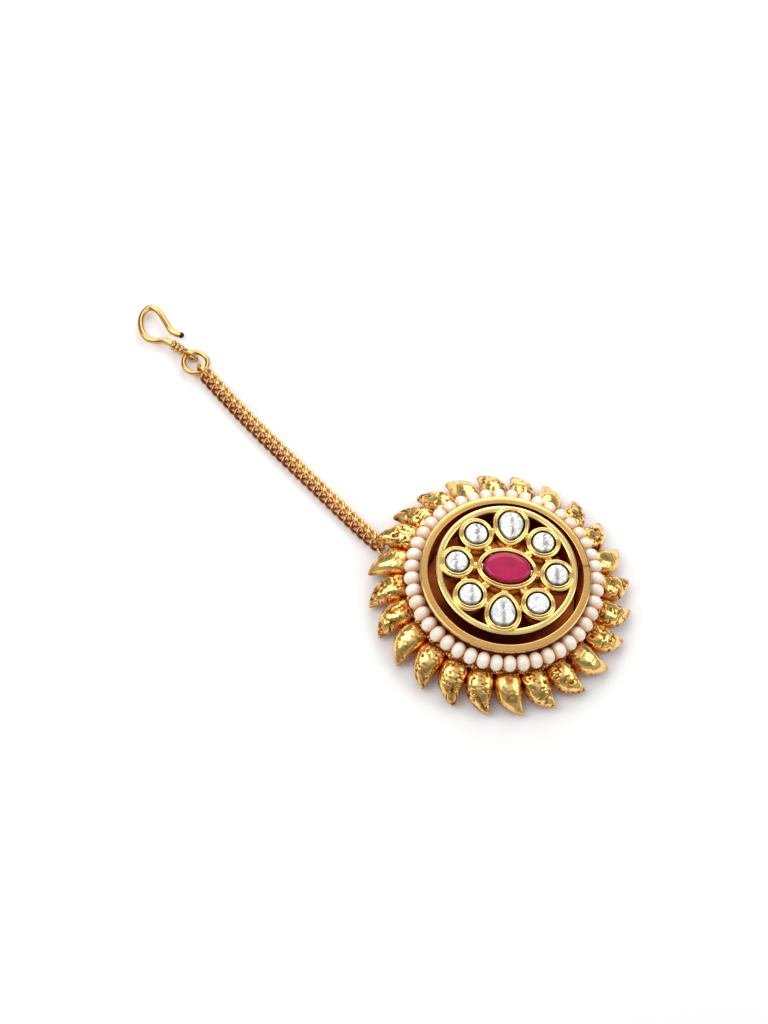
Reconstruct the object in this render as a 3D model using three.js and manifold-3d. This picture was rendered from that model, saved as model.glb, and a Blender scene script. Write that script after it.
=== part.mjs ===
// Maang tikka: a domed sun pendant, a short link chain, a jump ring and a hair hook.
// Millimetres, +Z out of the pendant's face, +Y from the pendant towards the hook.
// The pendant rests on the flat back of its cup, centred on the origin.
import * as THREE from 'three';
import { mergeVertices } from 'three/addons/utils/BufferGeometryUtils.js';
import Module from 'manifold-3d';

const wasm = await Module();
wasm.setup();

const DEG = Math.PI / 180;
const TURN = Math.PI * 2;
const GAP = 0.3;
const WELD = 0.001;
const SEAM = 0.00001;

// Cup: one turned pan whose wall ends in the polished collar.
const FACETS = 48;
const FLOOR_THICKNESS = 0.8;
const BACK_RADIUS = 14.2;
const SHOULDER_RADIUS = 16.3;
const SHOULDER_Z = 5.6;
const WALL_OUTER = 14.2;
const COLLAR_OUTER = 14.85;
const COLLAR_INNER = 13.4;
const COLLAR_Z = 9.9;
const COLLAR_DEPTH = 0.85;
const COLLAR_EASE = 0.28;
const FOOT_SPREAD = 1.4;
const FOOT_Z = 0.4;
const FLANK_Z = 1.8;
const FLANK_RISE = 2.8;
const FLANK_BULGE = 0.2;
const SHOULDER_EASE = 0.3;
const CORNER_EASE = 0.1;

// Mango leaves round the cup.
const LEAF_COUNT = 24;
const LEAF_ROOT_RADIUS = 15.6;
const LEAF_TIP_RADIUS = 23.0;
const LEAF_ROOT_Z = 3.7;
const LEAF_TIP_Z = 0.9;
const LEAF_EDGE = 0.4;
const LEAF_BODY_SHIFT = -2.0;
const LEAF_CREASE = 0.1;
const CREASE_STEP = { leaf: 2.3, row: 1.9, point: 2.6 };
const LEAF_DOME_POINTS = 5;
const LEAF_STATIONS = [
  { reach: 0.0, clockwise: 1.6, counter: 1.6, rise: 1.0 },
  { reach: 0.18, clockwise: 2.2, counter: 2.1, rise: 2.1 },
  { reach: 0.46, clockwise: 2.45, counter: 2.25, rise: 2.4 },
  { reach: 0.72, clockwise: 1.6, counter: 2.05, rise: 1.9 },
  { reach: 0.89, clockwise: 0.05, counter: 2.0, rise: 1.1 },
  { reach: 1.0, clockwise: -1.6, counter: 2.15, rise: 0.4 },
];
const LEAF_FOOT_SHARE = 0.9;
// Leaves over the chain are lifted clear of it.
const LEAF_LIFT = 2.3;
const LEAF_LIFT_SPREAD = 13 * DEG;
const CHAIN_START_ANGLE = 120 * DEG;

// Granules where neighbouring leaves meet the cup.
const GRANULE_RADIUS = 0.55;
const GRANULE_RING = 16.55;
const GRANULE_Z = 4.9;
const GRANULE_TURN = -5 * DEG;

// Loop soldered under the leaves for the chain.
const LOOP_RADIUS = 1.55;
const LOOP_WIRE = 0.7;
const LOOP_SEGMENTS = 12;

// Pearl string.
const PEARL_COUNT = 44;
const PEARL_RING = 15.95;
const PEARL_Z = 7.4;
const PEARL_RADIUS = 1.45;
const PEARL_WAIST = 0.35;
const PEARL_SIDES = 8;
const PEARL_STEPS = [0, 0.32, 0.68];

// Pierced floral frame.
const FRAME_OUTER = 12.25;
const FRAME_INNER = 11.05;
const FRAME_BOTTOM = 10.1;
const FRAME_TOP = 11.3;
const FRAME_EASE = 0.25;
const BEZEL_BOTTOM = 9.2;
const BEZEL_TOP = 11.85;
const BEZEL_FLOOR = 0.6;
const BEZEL_HEADROOM = 1;
const BEZEL_WALL = 0.8;
const BEZEL_FOOT_SHARE = 0.6;
const BEZEL_FOOT_RISE = 0.4;
const LIP_OUTER_DROP = 0.35;
const LIP_INNER_DROP = 0.3;
const ROUND_RING = 8.25;
const SIDE_RING = 8.65;
const PEAR_RING = 8.2;
const ROUND_STONE_RADIUS = 1.95;
const PEAR_STONE_HALF_WIDTH = 2.2;
const PEAR_STONE_HALF_LENGTH = 2.75;
const PEAR_POINT_WIDTH = 0.62;
const PEAR_ROUND_WIDTH = 0.5;
const RUBY_HALF_LENGTH = 4.2;
const RUBY_HALF_WIDTH = 2.9;
const ROUND_SIDES = 12;
const PEAR_SIDES = 16;
const RUBY_SIDES = 20;
const JOINT_RADIUS = 0.7;
const JOINT_DROP = 0.6;
const WEB_WIDTH = 1.1;
const WEB_DROP = 0.3;
const WEB_INNER = 3.6;
const POST_RADIUS = 1.8;
const POST_SIDES = 16;
const STONE_TOP = 12.1;
const RUBY_TOP = 12.4;
const TABLE_SHARE = 0.62;
const CROWN_SHARE = 0.86;
const CROWN_DROP = 0.35;
const GIRDLE_DROP = 0.75;
const FLOWER_COUNT = 8;
const FLOWER_TURN = TURN / FLOWER_COUNT;
const ROUND_SEATS = [0, 2, 3, 4, 6, 7];
const SIDE_SEATS = [3, 7];
const PEAR_SEATS = [1, 5];

// Chain, jump ring and hook, lying flat beside the pendant.
const CHAIN_Z = 1.5;
const CHAIN_ROUTE = [[-14.3, 52.6], [-12.85, 36.0], [-11.3, 21.2], [-9.3, 15.6]];
const ROUTE_TOP_X = -14.85;
const ROUTE_LEAD = 3;
const LINK_COUNT = 31;
const LINK_PITCH = 1.595;
const LINK_RING_REACH = 1.0;
const LINK_HALF_LENGTH = 1.08;
const LINK_HALF_WIDTH = 1.3;
const FIRST_LINK_HALF_WIDTH = 1.1;
const LINK_ROLL = 50 * DEG;
const LINK_TWIST = 44 * DEG;
const LINK_WIRE = 0.7;
const LINK_SEGMENTS = 8;
const WIRE_SIDES = 5;
const TANGENT_STEP = 0.02;
const END_LINK_HALF_LENGTH = 1.5;
const END_LINK_HALF_WIDTH = 1.07;
const END_LINK_WIRE = 0.6;
const END_LINK_OVERLAP = 0.52;
const END_LINK_REACH = 1.0;
const RING_CENTRE = [-14.75, 68.6];
const RING_RADIUS = 2.2;
const RING_WIRE = 0.9;
const RING_SIDES = 6;
const RING_SEGMENTS = 20;
const HOOK_WIRE = 1.1;
const HOOK_SIDES = 6;
const HOOK_STEPS = 32;
const HOOK_EYE_HALF_LENGTH = 1.5;
const HOOK_EYE_HALF_HEIGHT = 1.05;
const HOOK_EYE_WIRE = 0.75;
const NECK_RADIUS = 0.95;
const NECK_WRAPS = 3;
const NECK_WRAP_PITCH = 0.85;
const NECK_GROOVE_SHARE = 0.8;
const NECK_CREST = [0.3, 0.7];
const NECK_SIDES = 10;

// Shared shape helpers.
const toSolid = (geometry) => {
  const plain = geometry.clone();
  plain.deleteAttribute('normal');
  plain.deleteAttribute('uv');
  const welded = mergeVertices(plain, SEAM);
  return new wasm.Manifold(new wasm.Mesh({
    numProp: 3,
    vertProperties: new Float32Array(welded.attributes.position.array),
    triVerts: new Uint32Array(welded.index.array),
  }));
};

const toGeometry = (solid) => {
  const mesh = solid.getMesh();
  const raw = new THREE.BufferGeometry();
  const positions = new Float32Array(mesh.vertProperties);
  raw.setAttribute('position', new THREE.BufferAttribute(positions, 3));
  raw.setIndex(Array.from(mesh.triVerts));
  const geometry = mergeVertices(raw, WELD);
  const corners = Array.from(geometry.index.array);
  const kept = [];
  for (let face = 0; face < corners.length; face += 3) {
    const [a, b, c] = corners.slice(face, face + 3);
    if (a !== b && b !== c && a !== c) kept.push(a, b, c);
  }
  geometry.setIndex(kept);
  geometry.computeVertexNormals();
  return geometry;
};

const joinAll = (geometries) => geometries
  .map(toSolid)
  .reduce((whole, piece) => whole.add(piece));

// Closed skin through rings of equal length, flat fans on the first and last ring.
const skinRings = (rings, closed = false) => {
  const sides = rings[0].length;
  const points = rings.flat();
  const faces = [];
  const bands = closed ? rings.length : rings.length - 1;
  for (let band = 0; band < bands; band += 1) {
    const near = band * sides;
    const far = ((band + 1) % rings.length) * sides;
    for (let side = 0; side < sides; side += 1) {
      const next = (side + 1) % sides;
      faces.push(near + side, near + next, far + next);
      faces.push(near + side, far + next, far + side);
    }
  }
  if (!closed) {
    const last = (rings.length - 1) * sides;
    for (let side = 1; side < sides - 1; side += 1) {
      faces.push(0, side + 1, side);
      faces.push(last, last + side, last + side + 1);
    }
  }
  const geometry = new THREE.BufferGeometry();
  const positions = new Float32Array(points.flatMap((point) => point.toArray()));
  geometry.setAttribute('position', new THREE.BufferAttribute(positions, 3));
  geometry.setIndex(faces);
  geometry.computeVertexNormals();
  return geometry;
};

const ringShape = (radius, sides) => {
  const shape = new THREE.Shape();
  for (let side = 0; side < sides; side += 1) {
    const angle = (TURN * side) / sides;
    const x = radius * Math.cos(angle);
    const y = radius * Math.sin(angle);
    if (side === 0) shape.moveTo(x, y);
    else shape.lineTo(x, y);
  }
  shape.closePath();
  return shape;
};

const wireAlong = (curve, radius, steps, sides) => new THREE.ExtrudeGeometry(
  ringShape(radius, sides),
  { steps, bevelEnabled: false, extrudePath: curve },
);

const lathe = (rows, segments) => {
  const profile = rows.map(([radius, z]) => new THREE.Vector2(radius, z));
  return new THREE.LatheGeometry(profile, segments).rotateX(Math.PI / 2);
};

// Sun setting: cup, leaves, granules and the chain loop in one solid.
const cupGeometry = () => {
  const rimFoot = COLLAR_Z - COLLAR_DEPTH;
  return lathe([
    [0, 0],
    [BACK_RADIUS, 0],
    [BACK_RADIUS + FOOT_SPREAD, FOOT_Z],
    [SHOULDER_RADIUS, FLANK_Z],
    [SHOULDER_RADIUS + FLANK_BULGE, FLANK_Z + FLANK_RISE],
    [SHOULDER_RADIUS - SHOULDER_EASE, SHOULDER_Z - CORNER_EASE],
    [WALL_OUTER + CORNER_EASE, SHOULDER_Z],
    [WALL_OUTER, rimFoot - CORNER_EASE],
    [COLLAR_OUTER, rimFoot + COLLAR_EASE],
    [COLLAR_OUTER, COLLAR_Z - COLLAR_EASE],
    [COLLAR_OUTER - COLLAR_EASE, COLLAR_Z],
    [COLLAR_INNER + COLLAR_EASE, COLLAR_Z],
    [COLLAR_INNER, COLLAR_Z - COLLAR_EASE],
    [COLLAR_INNER, FLOOR_THICKNESS],
    [0, FLOOR_THICKNESS],
  ], FACETS);
};

const leafLift = (angle) => {
  const offset = angle - CHAIN_START_ANGLE;
  const nearest = Math.atan2(Math.sin(offset), Math.cos(offset));
  return LEAF_LIFT * Math.exp(-((nearest / LEAF_LIFT_SPREAD) ** 2));
};

const leafGeometry = (index) => {
  const tipAngle = (TURN * index) / LEAF_COUNT;
  const radial = new THREE.Vector3(Math.cos(tipAngle), Math.sin(tipAngle), 0);
  const across = new THREE.Vector3(-Math.sin(tipAngle), Math.cos(tipAngle), 0);
  const run = LEAF_TIP_RADIUS - LEAF_ROOT_RADIUS;
  const fall = LEAF_ROOT_Z - LEAF_TIP_Z - leafLift(tipAngle);
  const length = Math.hypot(run, fall);
  const along = radial.clone().multiplyScalar(run / length);
  along.z = -fall / length;
  const up = radial.clone().multiplyScalar(fall / length);
  up.z = run / length;
  const root = radial.clone().multiplyScalar(LEAF_ROOT_RADIUS);
  root.z = LEAF_ROOT_Z;
  const place = (reach, side, rise) => root.clone()
    .addScaledVector(along, reach * length)
    .addScaledVector(across, side + LEAF_BODY_SHIFT)
    .addScaledVector(up, rise);
  const rings = LEAF_STATIONS.map((station, row) => {
    const middle = (station.counter - station.clockwise) / 2;
    const half = (station.counter + station.clockwise) / 2;
    const ring = [
      place(station.reach, middle - half * LEAF_FOOT_SHARE, 0),
      place(station.reach, middle + half * LEAF_FOOT_SHARE, 0),
    ];
    for (let point = 0; point < LEAF_DOME_POINTS; point += 1) {
      const sweep = (Math.PI * point) / (LEAF_DOME_POINTS - 1);
      const phase = index * CREASE_STEP.leaf + row * CREASE_STEP.row + point * CREASE_STEP.point;
      const crease = 1 + LEAF_CREASE * Math.sin(phase);
      const rise = LEAF_EDGE + station.rise * Math.sin(sweep) * crease;
      ring.push(place(station.reach, middle + half * Math.cos(sweep), rise));
    }
    return ring;
  });
  return skinRings(rings);
};

const granuleGeometry = (index) => {
  const angle = (TURN * (index + 0.5)) / LEAF_COUNT + GRANULE_TURN;
  const granule = new THREE.IcosahedronGeometry(GRANULE_RADIUS, 0);
  return granule.translate(
    GRANULE_RING * Math.cos(angle),
    GRANULE_RING * Math.sin(angle),
    GRANULE_Z,
  );
};

const repeat = (count, make) => Array.from({ length: count }, (_, index) => make(index));

// Chain route: from inside the jump ring back to the loop under the leaves.
const ringNearSide = new THREE.Vector3(ROUTE_TOP_X, RING_CENTRE[1] - RING_RADIUS, CHAIN_Z);
const routePoints = CHAIN_ROUTE.map(([x, y]) => new THREE.Vector3(x, y, CHAIN_Z));
const routeBack = ringNearSide.clone().sub(routePoints[0]).normalize();
const chainRoute = new THREE.CatmullRomCurve3([
  ringNearSide.clone().addScaledVector(routeBack, ROUTE_LEAD),
  ringNearSide,
  ...routePoints,
]);
const firstLinkAt = LINK_HALF_LENGTH - LINK_RING_REACH;
const lastLinkAt = firstLinkAt + LINK_PITCH * (LINK_COUNT - 1);
const endLinkAt = lastLinkAt + LINK_HALF_LENGTH + END_LINK_HALF_LENGTH - END_LINK_OVERLAP;
const loopAt = endLinkAt + END_LINK_HALF_LENGTH - END_LINK_REACH;

// Place and heading at a distance from the jump ring's near side.
const routeAt = (distance) => {
  const share = (distance + ROUTE_LEAD) / chainRoute.getLength();
  const point = chainRoute.getPointAt(share);
  const heading = chainRoute.getTangentAt(share);
  return { point, angle: Math.atan2(heading.y, heading.x) };
};

const loopSeat = routeAt(loopAt);

const loopGeometry = () => {
  const inward = loopSeat.angle;
  const loop = new THREE.TorusGeometry(LOOP_RADIUS, LOOP_WIRE / 2, RING_SIDES, LOOP_SEGMENTS);
  return loop.translate(
    loopSeat.point.x + LOOP_RADIUS * Math.cos(inward),
    loopSeat.point.y + LOOP_RADIUS * Math.sin(inward),
    CHAIN_Z,
  );
};

const sunSetting = () => toGeometry(joinAll([
  cupGeometry(),
  ...repeat(LEAF_COUNT, leafGeometry),
  ...repeat(LEAF_COUNT, granuleGeometry),
  loopGeometry(),
]));

// Pearl string: one closed strand whose girth swells at each pearl.
const pearlString = () => {
  const girths = [PEARL_WAIST, PEARL_RADIUS, PEARL_RADIUS];
  const rings = [];
  for (let pearl = 0; pearl < PEARL_COUNT; pearl += 1) {
    girths.forEach((girth, row) => {
      const angle = (TURN * (pearl + PEARL_STEPS[row])) / PEARL_COUNT;
      const ring = repeat(PEARL_SIDES, (side) => {
        const sweep = (TURN * side) / PEARL_SIDES;
        const radius = PEARL_RING + girth * Math.cos(sweep);
        return new THREE.Vector3(
          radius * Math.cos(angle),
          radius * Math.sin(angle),
          PEARL_Z + girth * Math.sin(sweep),
        );
      });
      rings.push(ring.reverse());
    });
  }
  return skinRings(rings, true);
};

// Stone outlines, grown by an offset for the bezel walls.
const ovalOutline = (halfLength, halfWidth, sides) => repeat(sides, (side) => {
  const angle = (TURN * side) / sides;
  return new THREE.Vector2(halfLength * Math.cos(angle), halfWidth * Math.sin(angle));
});

// A drop pointing to -x, round end to +x.
const pearOutline = (halfLength, halfWidth, sides) => repeat(sides, (side) => {
  const angle = (TURN * side) / sides;
  const taper = Math.sin(angle / 2 + Math.PI / 2);
  const width = halfWidth * Math.sin(angle) * (PEAR_POINT_WIDTH + PEAR_ROUND_WIDTH * Math.abs(taper));
  return new THREE.Vector2(halfLength * Math.cos(angle), width);
});

const grown = (outline, offset) => outline.map((point, index) => {
  const before = outline[(index + outline.length - 1) % outline.length];
  const after = outline[(index + 1) % outline.length];
  const normal = new THREE.Vector2(after.y - before.y, before.x - after.x).normalize();
  return point.clone().addScaledVector(normal, offset);
});

const FLOWER = [
  ...repeat(FLOWER_COUNT, (index) => {
    const angle = FLOWER_TURN * index;
    if (PEAR_SEATS.includes(index)) {
      return {
        name: `pear_stone_${PEAR_SEATS.indexOf(index) + 1}`,
        ring: PEAR_RING,
        angle,
        outline: pearOutline(PEAR_STONE_HALF_LENGTH, PEAR_STONE_HALF_WIDTH, PEAR_SIDES),
        top: STONE_TOP,
      };
    }
    return {
      name: `round_stone_${ROUND_SEATS.indexOf(index) + 1}`,
      ring: SIDE_SEATS.includes(index) ? SIDE_RING : ROUND_RING,
      angle,
      outline: ovalOutline(ROUND_STONE_RADIUS, ROUND_STONE_RADIUS, ROUND_SIDES),
      top: STONE_TOP,
    };
  }),
  {
    name: 'ruby_stone',
    ring: 0,
    angle: -FLOWER_TURN,
    outline: ovalOutline(RUBY_HALF_LENGTH, RUBY_HALF_WIDTH, RUBY_SIDES),
    top: RUBY_TOP,
  },
];

const level = (outline, z) => outline.map((point) => new THREE.Vector3(point.x, point.y, z));

const seated = (geometry, seat) => geometry
  .rotateZ(seat.angle)
  .translate(seat.ring * Math.cos(seat.angle), seat.ring * Math.sin(seat.angle), 0);

// Cup with a rounded lip round one stone.
const bezelGeometry = (seat) => {
  const rim = grown(seat.outline, GAP);
  const outer = grown(seat.outline, GAP + BEZEL_WALL);
  const lip = grown(seat.outline, GAP + BEZEL_WALL / 2);
  const foot = grown(seat.outline, GAP + BEZEL_WALL * BEZEL_FOOT_SHARE);
  const inside = BEZEL_BOTTOM + BEZEL_FLOOR;
  return seated(skinRings([
    level(foot, BEZEL_BOTTOM),
    level(outer, BEZEL_BOTTOM + BEZEL_FOOT_RISE),
    level(outer, BEZEL_TOP - LIP_OUTER_DROP),
    level(lip, BEZEL_TOP),
    level(rim, BEZEL_TOP - LIP_INNER_DROP),
    level(rim, inside),
  ]), seat);
};

const stoneGeometry = (seat) => {
  const bottom = BEZEL_BOTTOM + BEZEL_FLOOR + GAP;
  const crown = seat.outline.map((point) => point.clone().multiplyScalar(CROWN_SHARE));
  const table = seat.outline.map((point) => point.clone().multiplyScalar(TABLE_SHARE));
  return seated(skinRings([
    level(crown, bottom),
    level(seat.outline, BEZEL_TOP - GIRDLE_DROP),
    level(crown, seat.top - CROWN_DROP),
    level(table, seat.top),
  ]), seat);
};

const frameRingGeometry = () => lathe([
  [FRAME_INNER, FRAME_BOTTOM],
  [FRAME_OUTER, FRAME_BOTTOM],
  [FRAME_OUTER, FRAME_TOP - FRAME_EASE],
  [FRAME_OUTER - FRAME_EASE, FRAME_TOP],
  [FRAME_INNER + FRAME_EASE, FRAME_TOP],
  [FRAME_INNER, FRAME_TOP - FRAME_EASE],
  [FRAME_INNER, FRAME_BOTTOM],
], FACETS);

const webGeometry = (index) => {
  const angle = FLOWER_TURN * index;
  const length = ROUND_RING - WEB_INNER - ROUND_STONE_RADIUS - GAP;
  const height = FRAME_TOP - FRAME_BOTTOM - WEB_DROP;
  return new THREE.BoxGeometry(length, WEB_WIDTH, height)
    .translate(WEB_INNER + length / 2, 0, FRAME_BOTTOM + height / 2)
    .rotateZ(angle);
};

const jointGeometry = (index) => {
  const angle = FLOWER_TURN * (index + 0.5);
  const ring = ROUND_RING * Math.cos(FLOWER_TURN / 2);
  return new THREE.IcosahedronGeometry(JOINT_RADIUS, 0).translate(
    ring * Math.cos(angle),
    ring * Math.sin(angle),
    FRAME_TOP - JOINT_DROP,
  );
};

const postGeometry = () => {
  const foot = FLOOR_THICKNESS + GAP;
  const height = BEZEL_BOTTOM + BEZEL_FLOOR / 2 - foot;
  return new THREE.CylinderGeometry(POST_RADIUS, POST_RADIUS, height, POST_SIDES)
    .rotateX(Math.PI / 2)
    .translate(0, 0, foot + height / 2);
};

// Webs stop outside the stone seats, so each seat is cut clear after the joining.
const floralFrame = () => {
  const body = joinAll([
    frameRingGeometry(),
    ...repeat(FLOWER_COUNT, webGeometry),
    ...repeat(FLOWER_COUNT, jointGeometry),
    postGeometry(),
  ]);
  const whole = FLOWER.reduce((frame, seat) => {
    const room = seated(skinRings([
      level(grown(seat.outline, GAP + BEZEL_WALL / 2), BEZEL_BOTTOM + BEZEL_FLOOR / 2),
      level(grown(seat.outline, GAP + BEZEL_WALL / 2), BEZEL_TOP + BEZEL_HEADROOM),
    ]), seat);
    return frame.subtract(toSolid(room));
  }, body);
  return toGeometry(FLOWER.reduce((frame, seat) => frame.add(toSolid(bezelGeometry(seat))), whole));
};

// Chain: twisted links rolled on to their edge, with one upright link at the pendant.
// Each link runs along x, its plane leaning by lean(x) from level.
const linkGeometry = (halfLength, halfWidth, lean, wire) => {
  const rings = repeat(LINK_SEGMENTS, (step) => {
    const angle = (TURN * step) / LINK_SEGMENTS;
    const ahead = angle + TANGENT_STEP;
    const at = (turn) => {
      const x = Math.cos(turn);
      const y = halfWidth * Math.sin(turn);
      return new THREE.Vector3(halfLength * x, y * Math.cos(lean(x)), y * Math.sin(lean(x)));
    };
    const centre = at(angle);
    const tangent = at(ahead).sub(centre).normalize();
    const outward = centre.clone().sub(tangent.clone().multiplyScalar(centre.dot(tangent)));
    outward.normalize();
    const side = new THREE.Vector3().crossVectors(tangent, outward);
    return repeat(WIRE_SIDES, (corner) => {
      const sweep = (TURN * corner) / WIRE_SIDES;
      return centre.clone()
        .addScaledVector(outward, (wire / 2) * Math.cos(sweep))
        .addScaledVector(side, (wire / 2) * Math.sin(sweep));
    });
  });
  return skinRings(rings, true);
};

const placedOnRoute = (geometry, distance) => {
  const seat = routeAt(distance);
  return geometry.rotateZ(seat.angle).translate(seat.point.x, seat.point.y, CHAIN_Z);
};

// The first link stands upright in the jump ring and is narrower, so that it clears the table.
// The last lies flat in the upright end link.
const linkLean = (index) => {
  if (index === 0) return () => Math.PI / 2;
  if (index === LINK_COUNT - 1) return () => 0;
  return (x) => LINK_ROLL + LINK_TWIST * x;
};

const curbLink = (index) => {
  const halfWidth = index === 0 ? FIRST_LINK_HALF_WIDTH : LINK_HALF_WIDTH;
  const link = linkGeometry(LINK_HALF_LENGTH, halfWidth, linkLean(index), LINK_WIRE);
  return placedOnRoute(link, firstLinkAt + LINK_PITCH * index);
};

const endLink = () => placedOnRoute(
  linkGeometry(END_LINK_HALF_LENGTH, END_LINK_HALF_WIDTH, () => Math.PI / 2, END_LINK_WIRE),
  endLinkAt,
);

const chainBody = () => toGeometry(joinAll([
  ...repeat(LINK_COUNT, curbLink),
  endLink(),
]));

// Jump ring: holds the first link and the hook's eye.
const jumpRing = () => new THREE.TorusGeometry(RING_RADIUS, RING_WIRE / 2, RING_SIDES, RING_SEGMENTS)
  .translate(RING_CENTRE[0], RING_CENTRE[1], CHAIN_Z);

// Hair hook: eye, wrapped neck and one open bight of wire.
const HOOK_ROUTE = [
  { x: -15.1, y: 71.85 },
  { x: -16.0, y: 74.6 },
  { x: -16.7, y: 75.8 },
  { x: -17.8, y: 76.5 },
  { x: -18.7, y: 77.6 },
  { x: -18.8, y: 79.0 },
  { x: -18.2, y: 80.6 },
  { x: -17.2, y: 81.9 },
  { x: -15.9, y: 82.7 },
  { x: -14.5, y: 82.8 },
  { x: -13.8, y: 81.9 },
  { x: -13.7, y: 80.6 },
  { x: -14.0, y: 78.6 },
  { x: -14.3, y: 76.8 },
  { x: -13.9, y: 75.5 },
  { x: -13.0, y: 74.4 },
];
const neckHeading = Math.atan2(
  HOOK_ROUTE[1].y - HOOK_ROUTE[0].y,
  HOOK_ROUTE[1].x - HOOK_ROUTE[0].x,
);

const hookWire = () => {
  const curve = new THREE.CatmullRomCurve3(
    HOOK_ROUTE.map((point) => new THREE.Vector3(point.x, point.y, CHAIN_Z)),
  );
  return wireAlong(curve, HOOK_WIRE / 2, HOOK_STEPS, HOOK_SIDES);
};

const hookNeck = () => {
  const rows = [[0, 0]];
  for (let wrap = 0; wrap < NECK_WRAPS; wrap += 1) {
    const start = wrap * NECK_WRAP_PITCH;
    rows.push([NECK_RADIUS * NECK_GROOVE_SHARE, start]);
    NECK_CREST.forEach((share) => rows.push([NECK_RADIUS, start + NECK_WRAP_PITCH * share]));
  }
  rows.push([NECK_RADIUS * NECK_GROOVE_SHARE, NECK_WRAPS * NECK_WRAP_PITCH]);
  rows.push([0, NECK_WRAPS * NECK_WRAP_PITCH]);
  return lathe(rows, NECK_SIDES)
    .rotateY(Math.PI / 2)
    .rotateZ(neckHeading)
    .translate(HOOK_ROUTE[0].x, HOOK_ROUTE[0].y, CHAIN_Z);
};

const hookEye = () => linkGeometry(
  HOOK_EYE_HALF_LENGTH,
  HOOK_EYE_HALF_HEIGHT,
  () => Math.PI / 2,
  HOOK_EYE_WIRE,
)
  .rotateZ(neckHeading)
  .translate(
    HOOK_ROUTE[0].x - HOOK_EYE_HALF_LENGTH * Math.cos(neckHeading),
    HOOK_ROUTE[0].y - HOOK_EYE_HALF_LENGTH * Math.sin(neckHeading),
    CHAIN_Z,
  );

const hairHook = () => toGeometry(joinAll([hookWire(), hookNeck(), hookEye()]));

// Assembly.
const group = new THREE.Group();
group.name = 'maang_tikka';

const addPiece = (name, geometry, colour, roughness, metalness) => {
  const material = new THREE.MeshStandardMaterial({ color: colour, roughness, metalness });
  const mesh = new THREE.Mesh(geometry, material);
  mesh.name = name;
  group.add(mesh);
};

addPiece('sun_setting', sunSetting(), 0xd9a955, 0.28, 1);
addPiece('floral_frame', floralFrame(), 0xe6c274, 0.22, 1);
addPiece('pearl_string', pearlString(), 0xf4e9d8, 0.35, 0);
FLOWER.forEach((seat) => {
  const ruby = seat.name === 'ruby_stone';
  addPiece(seat.name, stoneGeometry(seat), ruby ? 0xb3264d : 0xdedede, 0.08, 0);
});
addPiece('chain', chainBody(), 0xd59a45, 0.3, 1);
addPiece('jump_ring', jumpRing(), 0xe0b765, 0.25, 1);
addPiece('hair_hook', hairHook(), 0xdcae5a, 0.25, 1);

export default group;
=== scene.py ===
"""Dresses the maang tikka: a domed sun pendant, its chain, jump ring and hair hook.

Sizes are millimetres in the row frame. Every mesh is written out in metres.
"""

import logging
import math
from collections.abc import Callable, Iterable, Sequence
from dataclasses import dataclass, field
from enum import Enum

import bmesh
import bpy
from mathutils import Matrix, Vector, noise

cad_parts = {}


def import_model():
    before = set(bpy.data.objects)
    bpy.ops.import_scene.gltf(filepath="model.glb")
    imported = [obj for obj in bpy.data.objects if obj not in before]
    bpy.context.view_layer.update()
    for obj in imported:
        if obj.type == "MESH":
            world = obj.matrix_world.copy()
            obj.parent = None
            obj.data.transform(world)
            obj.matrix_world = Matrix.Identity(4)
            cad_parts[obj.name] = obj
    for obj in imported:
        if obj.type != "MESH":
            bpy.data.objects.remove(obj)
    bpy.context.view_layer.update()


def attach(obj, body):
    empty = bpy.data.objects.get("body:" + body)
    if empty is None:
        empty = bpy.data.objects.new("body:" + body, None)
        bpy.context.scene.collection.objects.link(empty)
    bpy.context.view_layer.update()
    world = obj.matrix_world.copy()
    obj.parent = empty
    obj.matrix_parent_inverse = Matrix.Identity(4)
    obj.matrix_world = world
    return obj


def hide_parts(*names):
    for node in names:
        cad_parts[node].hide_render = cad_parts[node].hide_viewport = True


LOG = logging.getLogger("maang_tikka")
MM = 0.001
TURN = math.tau
BODY = "root"
# The vertex layer of painted shade and painted reflection that darkens each surface's colour.
PAINTED_SHADE = "painted_shade"
PLAIN_DEPTH = 0.08
Row = tuple[float, float]
Point = tuple[float, float, float]


# Shader groups and finishes


@dataclass(frozen=True)
class Colour:
    """A linear colour."""

    red: float
    green: float
    blue: float

    def rgba(self) -> tuple[float, float, float, float]:
        """Returns the colour with full alpha."""
        return (self.red, self.green, self.blue, 1.0)


def new_group(
    name: str,
    inputs: Iterable[tuple[str, str, object]],
    outputs: Iterable[tuple[str, str]],
) -> tuple[bpy.types.NodeTree, bpy.types.Node, bpy.types.Node]:
    """Makes an empty shader node group with named sockets.

    Args:
        name: The group's name.
        inputs: Socket name, socket type and default of each input.
        outputs: Socket name and socket type of each output.

    Returns:
        The node tree, its input node and its output node.
    """
    tree = bpy.data.node_groups.new(name, "ShaderNodeTree")
    for label, kind, default in inputs:
        socket = tree.interface.new_socket(name=label, in_out="INPUT", socket_type=kind)
        socket.default_value = default
    for label, kind in outputs:
        tree.interface.new_socket(name=label, in_out="OUTPUT", socket_type=kind)
    return tree, tree.nodes.new("NodeGroupInput"), tree.nodes.new("NodeGroupOutput")


def math_node(
    tree: bpy.types.NodeTree,
    operation: str,
    first: object,
    second: object,
) -> bpy.types.NodeSocket:
    """Adds a Math node whose operands are sockets or numbers.

    Args:
        tree: The tree it goes into.
        operation: The Math node's operation.
        first: The first operand.
        second: The second operand.

    Returns:
        The node's value socket.
    """
    node = tree.nodes.new("ShaderNodeMath")
    node.operation = operation
    for socket, value in zip(node.inputs, (first, second)):
        if isinstance(value, bpy.types.NodeSocket):
            tree.links.new(value, socket)
        else:
            socket.default_value = float(value)
    return node.outputs[0]


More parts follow.
